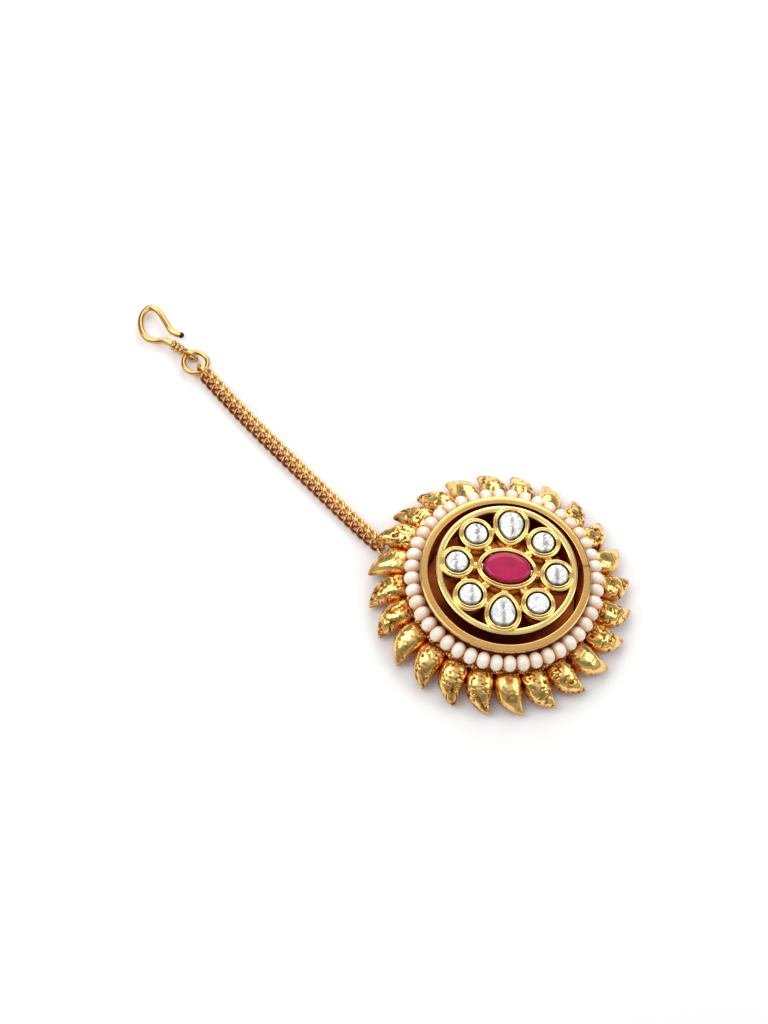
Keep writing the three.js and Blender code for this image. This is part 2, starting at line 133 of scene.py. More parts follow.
def mix_node(
    tree: bpy.types.NodeTree,
    share: bpy.types.NodeSocket,
    first: bpy.types.NodeSocket,
    second: bpy.types.NodeSocket,
) -> bpy.types.NodeSocket:
    """Adds a Mix node that goes from one colour to another.

    Args:
        tree: The tree it goes into.
        share: How much of the second colour there is.
        first: The first colour.
        second: The second colour.

    Returns:
        The node's colour socket.
    """
    node = tree.nodes.new("ShaderNodeMix")
    node.data_type = "RGBA"
    node.clamp_factor = True
    tree.links.new(share, node.inputs["Factor"])
    tree.links.new(first, node.inputs["A"])
    tree.links.new(second, node.inputs["B"])
    return node.outputs["Result"]


def shade_tint_group() -> bpy.types.NodeTree:
    """Builds the group that paints shade on to metal from a mask and mottles it.

    Returns:
        A group from a painted shade mask and three colours to a colour and a roughness.
    """
    tree, source, sink = new_group(
        "shade_tint",
        [
            ("Painted Shade", "NodeSocketFloat", 0.0),
            ("Bright", "NodeSocketColor", (1, 1, 1, 1)),
            ("Warm", "NodeSocketColor", (1, 1, 1, 1)),
            ("Deep", "NodeSocketColor", (0, 0, 0, 1)),
            ("Patch Scale", "NodeSocketFloat", 400.0),
            ("Smooth", "NodeSocketFloat", 0.2),
            ("Dull", "NodeSocketFloat", 0.4),
        ],
        [("Color", "NodeSocketColor"), ("Roughness", "NodeSocketFloat")],
    )
    place = tree.nodes.new("ShaderNodeTexCoord")
    patch = tree.nodes.new("ShaderNodeTexNoise")
    patch.inputs["Detail"].default_value = 4.0
    tree.links.new(place.outputs["Object"], patch.inputs["Vector"])
    tree.links.new(source.outputs["Patch Scale"], patch.inputs["Scale"])
    # Random mottling is added to the painted shade mask, which then mixes bright to warm to deep.
    wander = math_node(tree, "MULTIPLY", math_node(tree, "SUBTRACT", patch.outputs["Fac"], 0.5), 0.5)
    depth = math_node(tree, "ADD", source.outputs["Painted Shade"], wander)
    doubled = math_node(tree, "MULTIPLY", depth, 2.0)
    half_shade = mix_node(tree, doubled, source.outputs["Bright"], source.outputs["Warm"])
    past_half = math_node(tree, "SUBTRACT", doubled, 1.0)
    colour = mix_node(tree, past_half, half_shade, source.outputs["Deep"])
    tree.links.new(colour, sink.inputs["Color"])
    span = math_node(tree, "SUBTRACT", source.outputs["Dull"], source.outputs["Smooth"])
    added = math_node(tree, "MULTIPLY", depth, span)
    rough = math_node(tree, "ADD", added, source.outputs["Smooth"])
    tree.links.new(rough, sink.inputs["Roughness"])
    return tree


def fine_wear_group() -> bpy.types.NodeTree:
    """Builds the group that gives metal its hammer marks and hairline wear.

    Returns:
        A group from two scales to a height.
    """
    tree, source, sink = new_group(
        "fine_wear",
        [("Dent Scale", "NodeSocketFloat", 900.0), ("Grain Scale", "NodeSocketFloat", 6000.0)],
        [("Height", "NodeSocketFloat")],
    )
    place = tree.nodes.new("ShaderNodeTexCoord")
    dent = tree.nodes.new("ShaderNodeTexVoronoi")
    dent.feature = "SMOOTH_F1"
    grain = tree.nodes.new("ShaderNodeTexNoise")
    grain.inputs["Detail"].default_value = 3.0
    for node, label in ((dent, "Dent Scale"), (grain, "Grain Scale")):
        tree.links.new(place.outputs["Object"], node.inputs["Vector"])
        tree.links.new(source.outputs[label], node.inputs["Scale"])
    faint = math_node(tree, "MULTIPLY", grain.outputs["Fac"], 0.35)
    mixed = math_node(tree, "ADD", dent.outputs["Distance"], faint)
    tree.links.new(mixed, sink.inputs["Height"])
    return tree


class Groups:
    """The shader groups, each built once."""

    def __init__(self) -> None:
        """Builds both groups."""
        self.shade_tint = shade_tint_group()
        self.fine_wear = fine_wear_group()


def new_material(name: str) -> tuple[bpy.types.Material, bpy.types.NodeTree, bpy.types.Node]:
    """Makes a node material.

    Args:
        name: The material's name.

    Returns:
        The material, its tree and its Principled BSDF.
    """
    material = bpy.data.materials.new(name)
    material.use_nodes = True
    tree = material.node_tree
    return material, tree, tree.nodes["Principled BSDF"]


def add_tint(
    tree: bpy.types.NodeTree,
    shader: bpy.types.Node,
    groups: Groups,
    colours: Sequence[Colour],
    patch_scale: float,
    gloss: Row,
) -> None:
    """Colours a surface from bright to its painted shade.

    Args:
        tree: The material's node tree.
        shader: Its Principled BSDF.
        groups: The shared shader groups.
        colours: The bright, warm and deep colours.
        patch_scale: How fine the mottling is.
        gloss: Roughness with no painted shade and with the most painted shade.
    """
    painted_shade = tree.nodes.new("ShaderNodeAttribute")
    painted_shade.attribute_name = PAINTED_SHADE
    tint = tree.nodes.new("ShaderNodeGroup")
    tint.node_tree = groups.shade_tint
    for label, colour in zip(("Bright", "Warm", "Deep"), colours):
        tint.inputs[label].default_value = colour.rgba()
    tint.inputs["Patch Scale"].default_value = patch_scale
    for label, roughness in zip(("Smooth", "Dull"), gloss):
        tint.inputs[label].default_value = roughness
    tree.links.new(painted_shade.outputs["Fac"], tint.inputs["Painted Shade"])
    tree.links.new(tint.outputs["Color"], shader.inputs["Base Color"])
    tree.links.new(tint.outputs["Roughness"], shader.inputs["Roughness"])


def add_wear(
    tree: bpy.types.NodeTree,
    shader: bpy.types.Node,
    groups: Groups,
    scales: Row,
    relief: float,
    height: float,
) -> None:
    """Gives a surface its dents and grain.

    Args:
        tree: The material's node tree.
        shader: Its Principled BSDF.
        groups: The shared shader groups.
        scales: How fine the dents and the grain are.
        relief: How strongly they show.
        height: How high they stand.
    """
    wear = tree.nodes.new("ShaderNodeGroup")
    wear.node_tree = groups.fine_wear
    for label, scale in zip(("Dent Scale", "Grain Scale"), scales):
        wear.inputs[label].default_value = scale
    bump = tree.nodes.new("ShaderNodeBump")
    bump.inputs["Strength"].default_value = relief
    bump.inputs["Distance"].default_value = height * MM
    tree.links.new(wear.outputs["Height"], bump.inputs["Height"])
    tree.links.new(bump.outputs["Normal"], shader.inputs["Normal"])


@dataclass(frozen=True)
class GoldFinish:
    """A mottled plated gold whose painted shade goes from copper to brown."""

    name: str
    bright: Colour
    warm: Colour
    deep: Colour
    smooth: float = 0.16
    dull: float = 0.42
    patch_scale: float = 350.0
    dent_scale: float = 900.0
    grain_scale: float = 5000.0
    relief: float = 0.15
    height: float = 0.1

    def build(self, groups: Groups) -> bpy.types.Material:
        """Builds the material.

        Args:
            groups: The shared shader groups.

        Returns:
            The material.
        """
        material, tree, shader = new_material(self.name)
        colours = (self.bright, self.warm, self.deep)
        add_tint(tree, shader, groups, colours, self.patch_scale, (self.smooth, self.dull))
        add_wear(tree, shader, groups, (self.dent_scale, self.grain_scale), self.relief, self.height)
        shader.inputs["Metallic"].default_value = 1.0
        return material


@dataclass(frozen=True)
class PearlFinish:
    """Cream pearl with painted warm shade towards the string, where the beads meet."""

    name: str = "cream_pearl"
    cream: Colour = Colour(0.98, 0.93, 0.84)
    peach_shade: Colour = Colour(0.86, 0.56, 0.32)
    smooth: float = 0.24
    dull: float = 0.38
    patch_scale: float = 420.0
    glow: float = 0.25
    glow_depth: float = 0.6
    lustre: float = 0.6
    lustre_roughness: float = 0.12

    def build(self, groups: Groups) -> bpy.types.Material:
        """Builds the material.

        Args:
            groups: The shared shader groups.

        Returns:
            The material.
        """
        material, tree, shader = new_material(self.name)
        colours = (self.cream, self.peach_shade, self.peach_shade)
        add_tint(tree, shader, groups, colours, self.patch_scale, (self.smooth, self.dull))
        shader.inputs["Subsurface Weight"].default_value = self.glow
        shader.inputs["Subsurface Radius"].default_value = (1.0, 0.6, 0.4)
        shader.inputs["Subsurface Scale"].default_value = self.glow_depth * MM
        shader.inputs["Coat Weight"].default_value = self.lustre
        shader.inputs["Coat Roughness"].default_value = self.lustre_roughness
        return material


@dataclass(frozen=True)
class StoneFinish:
    """A foil backed stone: bright body, a darker tone and a rim tone for painted reflection and shade, and a
    clear polished face.
    """

    name: str
    body: Colour
    shaded_tone: Colour
    rim: Colour
    metallic: float
    relief: float
    smooth: float = 0.16
    dull: float = 0.24
    patch_scale: float = 700.0
    dent_scale: float = 800.0
    grain_scale: float = 2500.0
    height: float = 0.3
    polish: float = 0.5
    polish_roughness: float = 0.04

    def build(self, groups: Groups) -> bpy.types.Material:
        """Builds the material.

        Args:
            groups: The shared shader groups.

        Returns:
            The material.
        """
        material, tree, shader = new_material(self.name)
        colours = (self.body, self.shaded_tone, self.rim)
        add_tint(tree, shader, groups, colours, self.patch_scale, (self.smooth, self.dull))
        add_wear(tree, shader, groups, (self.dent_scale, self.grain_scale), self.relief, self.height)
        shader.inputs["Metallic"].default_value = self.metallic
        shader.inputs["Specular IOR Level"].default_value = self.polish
        shader.inputs["Coat Weight"].default_value = self.polish
        shader.inputs["Coat Roughness"].default_value = self.polish_roughness
        return material


class Finishes:
    """Every finish of the piece, built once."""

    def __init__(self, groups: Groups) -> None:
        """Builds the finishes.

        Args:
            groups: The shared shader groups.
        """
        # Each gold's warm and deep colours are the painted shade its surface darkens to.
        self.antique = GoldFinish(
            "antique_gold",
            Colour(1.0, 0.7, 0.24),
            Colour(0.62, 0.2, 0.03),
            Colour(0.055, 0.024, 0.005),
            smooth=0.17,
            dull=0.4,
        ).build(groups)
        self.polished = GoldFinish(
            "polished_gold",
            Colour(1.0, 0.76, 0.29),
            Colour(0.62, 0.3, 0.07),
            Colour(0.2, 0.07, 0.015),
            smooth=0.12,
            dull=0.3,
            relief=0.06,
        ).build(groups)
        self.collar = GoldFinish(
            "collar_gold",
            Colour(0.78, 0.47, 0.16),
            Colour(0.62, 0.3, 0.07),
            Colour(0.2, 0.07, 0.015),
            smooth=0.14,
            dull=0.3,
            relief=0.06,
        ).build(groups)
        self.chain_gold = GoldFinish(
            "chain_gold",
            Colour(0.9, 0.56, 0.18),
            Colour(0.55, 0.17, 0.03),
            Colour(0.16, 0.035, 0.008),
            smooth=0.16,
            dull=0.32,
            relief=0.04,
        ).build(groups)
        self.hook_gold = GoldFinish(
            "hook_gold",
            Colour(0.68, 0.42, 0.15),
            Colour(0.4, 0.19, 0.05),
            Colour(0.16, 0.06, 0.015),
            smooth=0.2,
            dull=0.34,
            relief=0.05,
        ).build(groups)
        self.recess = GoldFinish(
            "recess_maroon",
            Colour(0.8, 0.26, 0.06),
            Colour(0.3, 0.05, 0.015),
            Colour(0.06, 0.01, 0.004),
            smooth=0.22,
            dull=0.4,
        ).build(groups)
        self.copper = GoldFinish(
            "copper_dish",
            Colour(0.95, 0.42, 0.1),
            Colour(0.6, 0.16, 0.03),
            Colour(0.16, 0.03, 0.01),
            smooth=0.3,
            dull=0.5,
            dent_scale=1500.0,
            relief=0.6,
        ).build(groups)
        self.tip_dark = GoldFinish(
            "hook_tip_dark",
            Colour(0.05, 0.04, 0.03),
            Colour(0.03, 0.02, 0.02),
            Colour(0.01, 0.01, 0.01),
            smooth=0.3,
            dull=0.5,
        ).build(groups)
        # The clear stone's grey and gold colours are painted reflection on its foil; the ruby's darker
        # colours are painted shade.
        self.clear = StoneFinish(
            "clear_stone",
            Colour(1.0, 1.0, 0.98),
            Colour(0.33, 0.33, 0.34),
            Colour(0.42, 0.3, 0.12),
            metallic=0.5,
            relief=0.1,
        ).build(groups)
        self.ruby = StoneFinish(
            "ruby_glass",
            Colour(0.5, 0.012, 0.09),
            Colour(0.26, 0.005, 0.02),
            Colour(0.1, 0.0, 0.01),
            metallic=0.1,
            relief=0.04,
            polish=0.25,
        ).build(groups)
        self.pearl = PearlFinish().build(groups)
        self.thread = PearlFinish(
            "silk_thread",
            Colour(0.7, 0.5, 0.34),
            Colour(0.5, 0.28, 0.16),
        ).build(groups)


# Mesh helpers


def start_mesh() -> tuple[bmesh.types.BMesh, bmesh.types.BMLayerItem]:
    """Returns an empty bmesh with its painted shade layer."""
    mesh = bmesh.new()
    return mesh, mesh.verts.layers.float.new(PAINTED_SHADE)


def join_part(
    whole: bmesh.types.BMesh,
    shape: Callable[[bmesh.types.BMesh, bmesh.types.BMLayerItem], None],
) -> None:
    """Shapes one part in a mesh of its own and joins it to the whole.

    Args:
        whole: The bmesh it is joined to.
        shape: Adds the part to a bmesh with a painted shade layer.
    """
    part, painted_shade = start_mesh()
    shape(part, painted_shade)
    data = bpy.data.meshes.new("part")
    part.to_mesh(data)
    part.free()
    whole.from_mesh(data)
    bpy.data.meshes.remove(data)


def edges_at(verts: Iterable[bmesh.types.BMVert]) -> list[bmesh.types.BMEdge]:
    """Returns the edges at some vertices, each once and always in the same order."""
    return list(dict.fromkeys(edge for vert in verts for edge in vert.link_edges))


def grown_from(vert: bmesh.types.BMVert, fresh: set[bmesh.types.BMVert]) -> bmesh.types.BMVert:
    """Returns the new vertex that an edge joins to an old one."""
    return next(edge.other_vert(vert) for edge in vert.link_edges if edge.other_vert(vert) in fresh)


def grow_rings(
    mesh: bmesh.types.BMesh,
    painted_shade: bmesh.types.BMLayerItem,
    steps: int,
    rows: int,
    point: Callable[[int, float], tuple[Vector, float]],
) -> None:
    """Extrudes a ring of edges through rows and closes both ends.

    Args:
        mesh: The bmesh it is added to.
        painted_shade: The layer that holds each point's painted shade.
        steps: Corners of each ring.
        rows: How many rings there are.
        point: Gives the place and painted shade of a corner from its row and angle.
    """
    order = bmesh.ops.create_circle(mesh, segments=steps, radius=1.0)["verts"]
    turns = [math.atan2(vert.co.y, vert.co.x) for vert in order]
    edges = edges_at(order)
    for row in range(rows):
        if row:
            grown = bmesh.ops.extrude_edge_only(mesh, edges=edges)["geom"]
            fresh = {item for item in grown if isinstance(item, bmesh.types.BMVert)}
            order = [grown_from(vert, fresh) for vert in order]
            joined = [item for item in grown if isinstance(item, bmesh.types.BMEdge)]
            edges = [edge for edge in joined if set(edge.verts) <= fresh]
        for vert, angle in zip(order, turns):
            vert.co, vert[painted_shade] = point(row, angle)
        if row in (0, rows - 1):
            cap = bmesh.ops.contextual_create(mesh, geom=edges)["faces"]
            depth = sum(vert[painted_shade] for vert in order) / steps
            for vert in bmesh.ops.poke(mesh, faces=cap)["verts"]:
                vert[painted_shade] = depth


def finish_piece(
    mesh: bmesh.types.BMesh,
    name: str,
    materials: Sequence[bpy.types.Material],
    smooth: bool = True,
) -> bpy.types.Object:
    """Writes a bmesh in millimetres out as a piece of the object.

    Args:
        mesh: The finished bmesh, freed here.
        name: The piece's name.
        materials: Its materials, in the order of the faces' indices.
        smooth: Whether the faces are smooth shaded.

    Returns:
        The piece, riding on the body.
    """
    bmesh.ops.recalc_face_normals(mesh, faces=mesh.faces)
    bmesh.ops.scale(mesh, vec=Vector((MM, MM, MM)), verts=mesh.verts)
    for face in mesh.faces:
        face.smooth = smooth
    data = bpy.data.meshes.new(name)
    mesh.to_mesh(data)
    mesh.free()
    for material in materials:
        data.materials.append(material)
    piece = bpy.data.objects.new(name, data)
    bpy.context.scene.collection.objects.link(piece)
    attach(piece, BODY)
    LOG.info("%s: %d faces", name, len(data.polygons))
    return piece


def spin_profile(
    mesh: bmesh.types.BMesh,
    rows: Sequence[Row],
    steps: int,
    closed: bool,
) -> None:
    """Turns a profile of radius and height about the Z axis.

    Args:
        mesh: The bmesh it is added to.
        rows: Radius and height of each profile point, in order.
        steps: Segments round the axis.
        closed: Whether the last point joins the first.
    """
    known = set(mesh.verts)
    points = [mesh.verts.new((radius, 0.0, height)) for radius, height in rows]
    pairs = list(zip(points, points[1:] + points[:1]))
    edges = [mesh.edges.new(pair) for pair in (pairs if closed else pairs[:-1])]
    bmesh.ops.spin(
        mesh,
        geom=points + edges,
        axis=(0, 0, 1),
        cent=(0, 0, 0),
        angle=TURN,
        steps=steps,
        use_merge=True,
    )
    fresh = [vert for vert in mesh.verts if vert not in known]
    bmesh.ops.remove_doubles(mesh, verts=fresh, dist=1e-5)


def rounded(rows: Sequence[Point], steps: int = 5) -> list[Row]:
    """Rounds the corners of a profile.

    Args:
        rows: Radius, height and corner radius of each profile point.
        steps: Points on each rounded corner.

    Returns:
        The profile with its corners as arcs.
    """
    result: list[Row] = []
    for index, (radius, height, corner) in enumerate(rows):
        here = Vector((radius, height))
        if corner <= 0.0 or index in (0, len(rows) - 1):
            result.append((radius, height))
            continue
        before = Vector(rows[index - 1][:2])
        after = Vector(rows[index + 1][:2])
        start = here + (before - here).normalized() * corner
        end = here + (after - here).normalized() * corner
        for step in range(steps + 1):
            share = step / steps
            low = start.lerp(here, share)
            high = here.lerp(end, share)
            point = low.lerp(high, share)
            result.append((point.x, point.y))
    return result


def bent_ring(
    mesh: bmesh.types.BMesh,
    route: Callable[[float], Vector],
    wire: float,
    steps: int,
    sides: int,
    place: Matrix,
    swell: float = 0.0,
) -> None:
    """Bends a spun ring of wire along a closed route.

    Args:
        mesh: The bmesh it is added to.
        route: The wire's centre at an angle round the ring.
        wire: The wire's diameter.
        steps: Segments along the wire.
        sides: Segments round the wire.
        place: Where the ring goes.
        swell: How much thicker the wire is at a quarter turn than on average.
    """
    known = set(mesh.verts)
    thin = 0.1
    circle = bmesh.ops.create_circle(mesh, segments=sides, radius=thin)["verts"]
    bmesh.ops.rotate(mesh, verts=circle, cent=(0, 0, 0), matrix=Matrix.Rotation(math.pi / 2, 3, "X"))
    bmesh.ops.translate(mesh, verts=circle, vec=(1, 0, 0))
    edges = edges_at(circle)
    bmesh.ops.spin(
        mesh,
        geom=circle + edges,
        axis=(0, 0, 1),
        cent=(0, 0, 0),
        angle=TURN,
        steps=steps,
        use_merge=True,
    )
    ring = [vert for vert in mesh.verts if vert not in known]
    for vert in ring:
        angle = math.atan2(vert.co.y, vert.co.x)
        girth = wire / 2 / thin * (1.0 + swell * math.sin(angle))
        reach = (math.hypot(vert.co.x, vert.co.y) - 1.0) * girth
        rise = vert.co.z * girth
        centre = route(angle)
        tangent = (route(angle + 0.01) - route(angle - 0.01)).normalized()
        outward = (centre - tangent * centre.dot(tangent)).normalized()
        side = outward.cross(tangent)
        vert.co = place @ (centre + outward * reach + side * rise)


def sweep_wire(
    mesh: bmesh.types.BMesh,
    painted_shade: bmesh.types.BMLayerItem,
    points: Sequence[Vector],
    girths: Sequence[float],
    sides: int,
) -> None:
    """Sweeps a round wire through points in one level plane.

    Args:
        mesh: The bmesh it is added to.
        painted_shade: The layer that holds each point's painted shade.
        points: The wire's centre line.
        girths: The wire's radius at each point.
        sides: Segments round the wire.
    """

    def corner(row: int, angle: float) -> tuple[Vector, float]:
        """Returns a corner of the wire's section at a point."""
        ahead = (points[min(row + 1, len(points) - 1)] - points[max(row - 1, 0)]).normalized()
        side = ahead.cross(Vector((0, 0, 1))).normalized()
        reach = side * math.cos(angle) + Vector((0, 0, 1)) * math.sin(angle)
        return points[row] + reach * girths[row], PLAIN_DEPTH

    grow_rings(mesh, painted_shade, sides, len(points), corner)


def smooth_curve(points: Sequence[Vector], steps: int) -> list[Vector]:
    """Runs a Catmull-Rom curve through points.

    Args:
        points: The points it passes through.
        steps: Pieces between each two points.

    Returns:
        The curve's points, ends included.
    """
    padded = [points[0] * 2 - points[1], *points, points[-1] * 2 - points[-2]]
    result = []
    for a, b, c, d in zip(padded, padded[1:], padded[2:], padded[3:]):
        for step in range(steps):
            t = step / steps
            bend = (a * 2 - b * 5 + c * 4 - d) * t * t
            twist = (b * 3 - a - c * 3 + d) * t**3
            result.append((b * 2 + (c - a) * t + bend + twist) / 2)
    return [*result, points[-1]]


def table_value(rows: Sequence[Sequence[float]], column: int, at: float) -> float:
    """Reads a column of a table whose first column rises, with eased steps.

    Args:
        rows: The table.
        column: The column to read.
        at: The value of the first column.

    Returns:
        The value there.
    """
    for low, high in zip(rows, rows[1:]):
        if at <= high[0]:
            share = max(0.0, min(1.0, (at - low[0]) / (high[0] - low[0])))
            before = rows[max(0, rows.index(low) - 1)]
            after = rows[min(len(rows) - 1, rows.index(high) + 1)]
            width = high[0] - low[0]
            start = (high[column] - before[column]) / max(high[0] - before[0], 1e-6) * width
            end = (after[column] - low[column]) / max(after[0] - low[0], 1e-6) * width
            square, cube = share * share, share**3
            return (
                (2 * cube - 3 * square + 1) * low[column]
                + (cube - 2 * square + share) * start
                + (-2 * cube + 3 * square) * high[column]
                + (cube - square) * end
            )
    return rows[-1][column]


# The pendant


@dataclass
class SunCup:
    """The turned cup whose wall ends in the polished collar."""

    gold: bpy.types.Material
    collar: bpy.types.Material
    recess: bpy.types.Material
    steps: int = 160
    back_radius: float = 14.2
    shoulder_radius: float = 16.3
    shoulder_z: float = 5.6
    wall_outer: float = 14.2
    collar_outer: float = 14.85
    collar_inner: float = 13.4
    collar_z: float = 9.9
    collar_depth: float = 0.85
    collar_round: float = 0.3
    floor: float = 0.8
    seam_angle: float = math.radians(-30.7)
    seam_spread: float = math.radians(1.0)
    plain_shade: float = 0.05
    ledge_shade: float = 0.45
    recess_shade: float = 0.4
    seam_shade: float = 0.9

    def profile(self) -> list[Row]:
        """Returns the wall's closed profile with rounded corners."""
        foot = self.collar_z - self.collar_depth
        return rounded(
            [
                (0.0, 0.0, 0.0),
                (self.back_radius, 0.0, 0.4),
                (self.back_radius + 1.4, 0.4, 0.4),
                (self.shoulder_radius, 1.8, 0.5),
                (self.shoulder_radius + 0.2, self.shoulder_z - 1.0, 0.4),
                (self.shoulder_radius - 0.3, self.shoulder_z - 0.1, 0.2),
                (self.wall_outer + 0.1, self.shoulder_z, 0.2),
                (self.wall_outer, foot - 0.05, 0.1),
                (self.collar_outer, foot + 0.1, 0.12),
                (self.collar_outer, self.collar_z, self.collar_round),
                (self.collar_inner, self.collar_z, 0.26),
                (self.collar_inner, self.floor, 0.3),
                (self.collar_inner - 2.5, self.floor, 0.0),
                (0.0, self.floor, 0.0),
            ]
        )

    def build(self) -> bpy.types.Object:
        """Spins the cup and sorts its recess from its outside.

        Returns:
            The cup.
        """
        mesh, painted_shade = start_mesh()
        spin_profile(mesh, self.profile(), self.steps, closed=False)
        for face in mesh.faces:
            centre = face.calc_center_median()
            inside = math.hypot(centre.x, centre.y) < self.collar_inner + 0.02
            if inside and self.floor / 2 < centre.z < self.collar_z - self.collar_round:
                face.material_index = 2
            elif centre.z > self.collar_z - self.collar_depth:
                face.material_index = 1
        # Painted shade on the ledge under the pearls and in the recess, and a darker thin seam line across
        # the collar's top.
        for vert in mesh.verts:
            reach = math.hypot(vert.co.x, vert.co.y)
            under_pearls = self.shoulder_z - 0.2 < vert.co.z < self.collar_z - self.collar_depth - 0.1
            on_ledge = under_pearls and reach > self.collar_inner + 0.4
            vert[painted_shade] = self.ledge_shade if on_ledge else self.plain_shade
            in_recess = self.floor / 2 < vert.co.z < self.collar_z - 2 * self.collar_round
            if in_recess and reach < self.collar_inner + 0.1:
                vert[painted_shade] = self.recess_shade
            seam = math.remainder(math.atan2(vert.co.y, vert.co.x) - self.seam_angle, TURN)
            if vert.co.z > self.collar_z - self.collar_round and abs(seam) < self.seam_spread:
                vert[painted_shade] = self.seam_shade
        return finish_piece(mesh, "sun_cup", [self.gold, self.collar, self.recess])


@dataclass
class MangoLeaves:
    """The leaves round the cup, each a crumpled half bead with a curled tip."""

    gold: bpy.types.Material
    count: int = 24
    root_radius: float = 15.2
    tip_radius: float = 23.0
    root_z: float = 3.85
    tip_z: float = 0.9
    edge: float = 0.4
    shift: float = -2.0
    lift: float = 2.3
    lift_angle: float = math.radians(120)
    lift_spread: float = math.radians(13)
    crease: float = 0.256
    calm_crease: float = 0.35
    long_sharpness: float = 8.0
    cross_sharpness: float = 10.0
    cross_share: float = 0.55
    underside: float = 0.6
    crease_shade: float = 1.2
    root_shade: float = 0.6
    root_share: float = 0.34
    tip_shade: float = 0.35
    tip_share: float = 0.2
    side_shade: float = 0.5
    along_steps: int = 56
    round_steps: int = 56
    # Share of the length, clockwise and counter-clockwise half widths, and rise.
    stations: list[tuple[float, float, float, float]] = field(
        default_factory=lambda: [
            (0.0, 1.8, 1.7, 1.0),
            (0.18, 2.4, 2.2, 2.2),
            (0.44, 2.6, 2.3, 2.5),
            (0.7, 1.85, 2.1, 2.0),
            (0.88, 0.25, 2.05, 1.2),
            (1.0, -1.45, 2.15, 0.5),
        ]
    )

    def seat(self, index: int) -> Matrix:
        """Gives a leaf's frame: along its length, across it and up from it.

        Args:
            index: The leaf's number.

        Returns:
            The matrix from the leaf's own frame to the row's.
        """
        tip = TURN * index / self.count
        offset = math.remainder(tip - self.lift_angle, TURN)
        raised = self.lift * math.exp(-((offset / self.lift_spread) ** 2))
        run = self.tip_radius - self.root_radius
        fall = self.root_z - self.tip_z - raised
        along = Vector((run, 0.0, -fall)).normalized()
        up = Vector((fall, 0.0, run)).normalized()
        frame = Matrix((along, Vector((0, 1, 0)), up)).transposed().to_4x4()
        return Matrix.Rotation(tip, 4, "Z") @ Matrix.Translation((self.root_radius, 0, self.root_z)) @ frame

    def length(self) -> float:
        """Returns a leaf's length along its slope."""
        return math.hypot(self.tip_radius - self.root_radius, self.root_z - self.tip_z)

    def crumple(self, point: Vector, seed: int) -> float:
        """Gives the depth of the dents in a leaf.

        Args:
            point: A place on the leaf in its own frame.
            seed: The leaf's number.

        Returns:
            From 0 on the ridges to 1 in the deepest crease.
        """
        shift = Vector((seed * 7.3, seed * 3.1, 0.0))
        long = Vector((point.x * 0.5, point.y * 1.4, point.z * 0.4)) + shift
        short = Vector((point.x * 1.3, point.y * 0.7, point.z * 0.6)) + shift * 1.7
        ridge = max(0.0, 1.0 - abs(noise.noise(long)) * self.long_sharpness)
        cross = max(0.0, 1.0 - abs(noise.noise(short)) * self.cross_sharpness)
        broken = max(0.0, min(1.0, 0.75 + 3.0 * noise.noise(point * 0.8 + shift)))
        return (ridge + cross * self.cross_share) * broken

    def add_leaf(self, mesh: bmesh.types.BMesh, painted_shade: bmesh.types.BMLayerItem, index: int) -> None:
        """Shapes one leaf from a sphere.

        Args:
            mesh: The bmesh it is added to.
            painted_shade: The layer that holds each point's painted shade.
            index: The leaf's number.
        """
        ball = bmesh.ops.create_uvsphere(
            mesh, u_segments=self.round_steps, v_segments=self.along_steps, radius=1.0
        )["verts"]
        place = self.seat(index)
        length = self.length()
        calm = self.calm_crease if index % 7 in (2, 5) else 1.0
        for vert in ball:
            reach = math.acos(max(-1.0, min(1.0, -vert.co.z))) / math.pi
            sweep = math.atan2(vert.co.y, vert.co.x)
            clockwise = table_value(self.stations, 1, reach)
            counter = table_value(self.stations, 2, reach)
            rise = table_value(self.stations, 3, reach)
            close = math.sqrt(max(0.0, min(1.0, reach / 0.1, (1.0 - reach) / 0.045)))
            half = (counter + clockwise) / 2 * close
            middle = (counter - clockwise) / 2
            across = math.copysign(abs(math.cos(sweep)) ** 0.85, math.cos(sweep))
            lobe = math.sin(sweep)
            height = self.edge + rise * close * abs(lobe) ** 0.9 if lobe > 0 else self.edge * (1 + lobe)
            point = Vector((reach * length, self.shift + middle + half * across, height))
            depth = self.crumple(point, index) * calm if lobe > 0 else self.underside
            top = max(0.0, lobe)
            fade = min(1.0, top * 2.5) * min(1.0, reach / 0.12)
            inward = Vector((0.0, -across * 0.6, -top)).normalized() if top > 0.05 else Vector((0, 0, 0))
            vert.co = place @ (point + inward * depth * self.crease * fade)
            # Painted shade: darker in the creases, at the root beside the cup, towards the tip, down the
            # sides and underneath.
            creased = self.crease_shade * depth * fade
            root = self.root_shade * max(0.0, 1.0 - reach / self.root_share)
            tip = self.tip_shade * max(0.0, (reach - 1.0 + self.tip_share) / self.tip_share)
            side = self.side_shade * (1.0 - min(1.0, top * 1.35))
            vert[painted_shade] = min(1.0, creased + root + tip + side)

    def build(self) -> bpy.types.Object:
        """Builds all the leaves as one piece.

        Returns:
            The leaves.
        """
        mesh, _ = start_mesh()
        for index in range(self.count):
            join_part(mesh, lambda part, layer, index=index: self.add_leaf(part, layer, index))
        piece = finish_piece(mesh, "mango_leaves", [self.gold])
        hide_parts("sun_setting")
        return piece


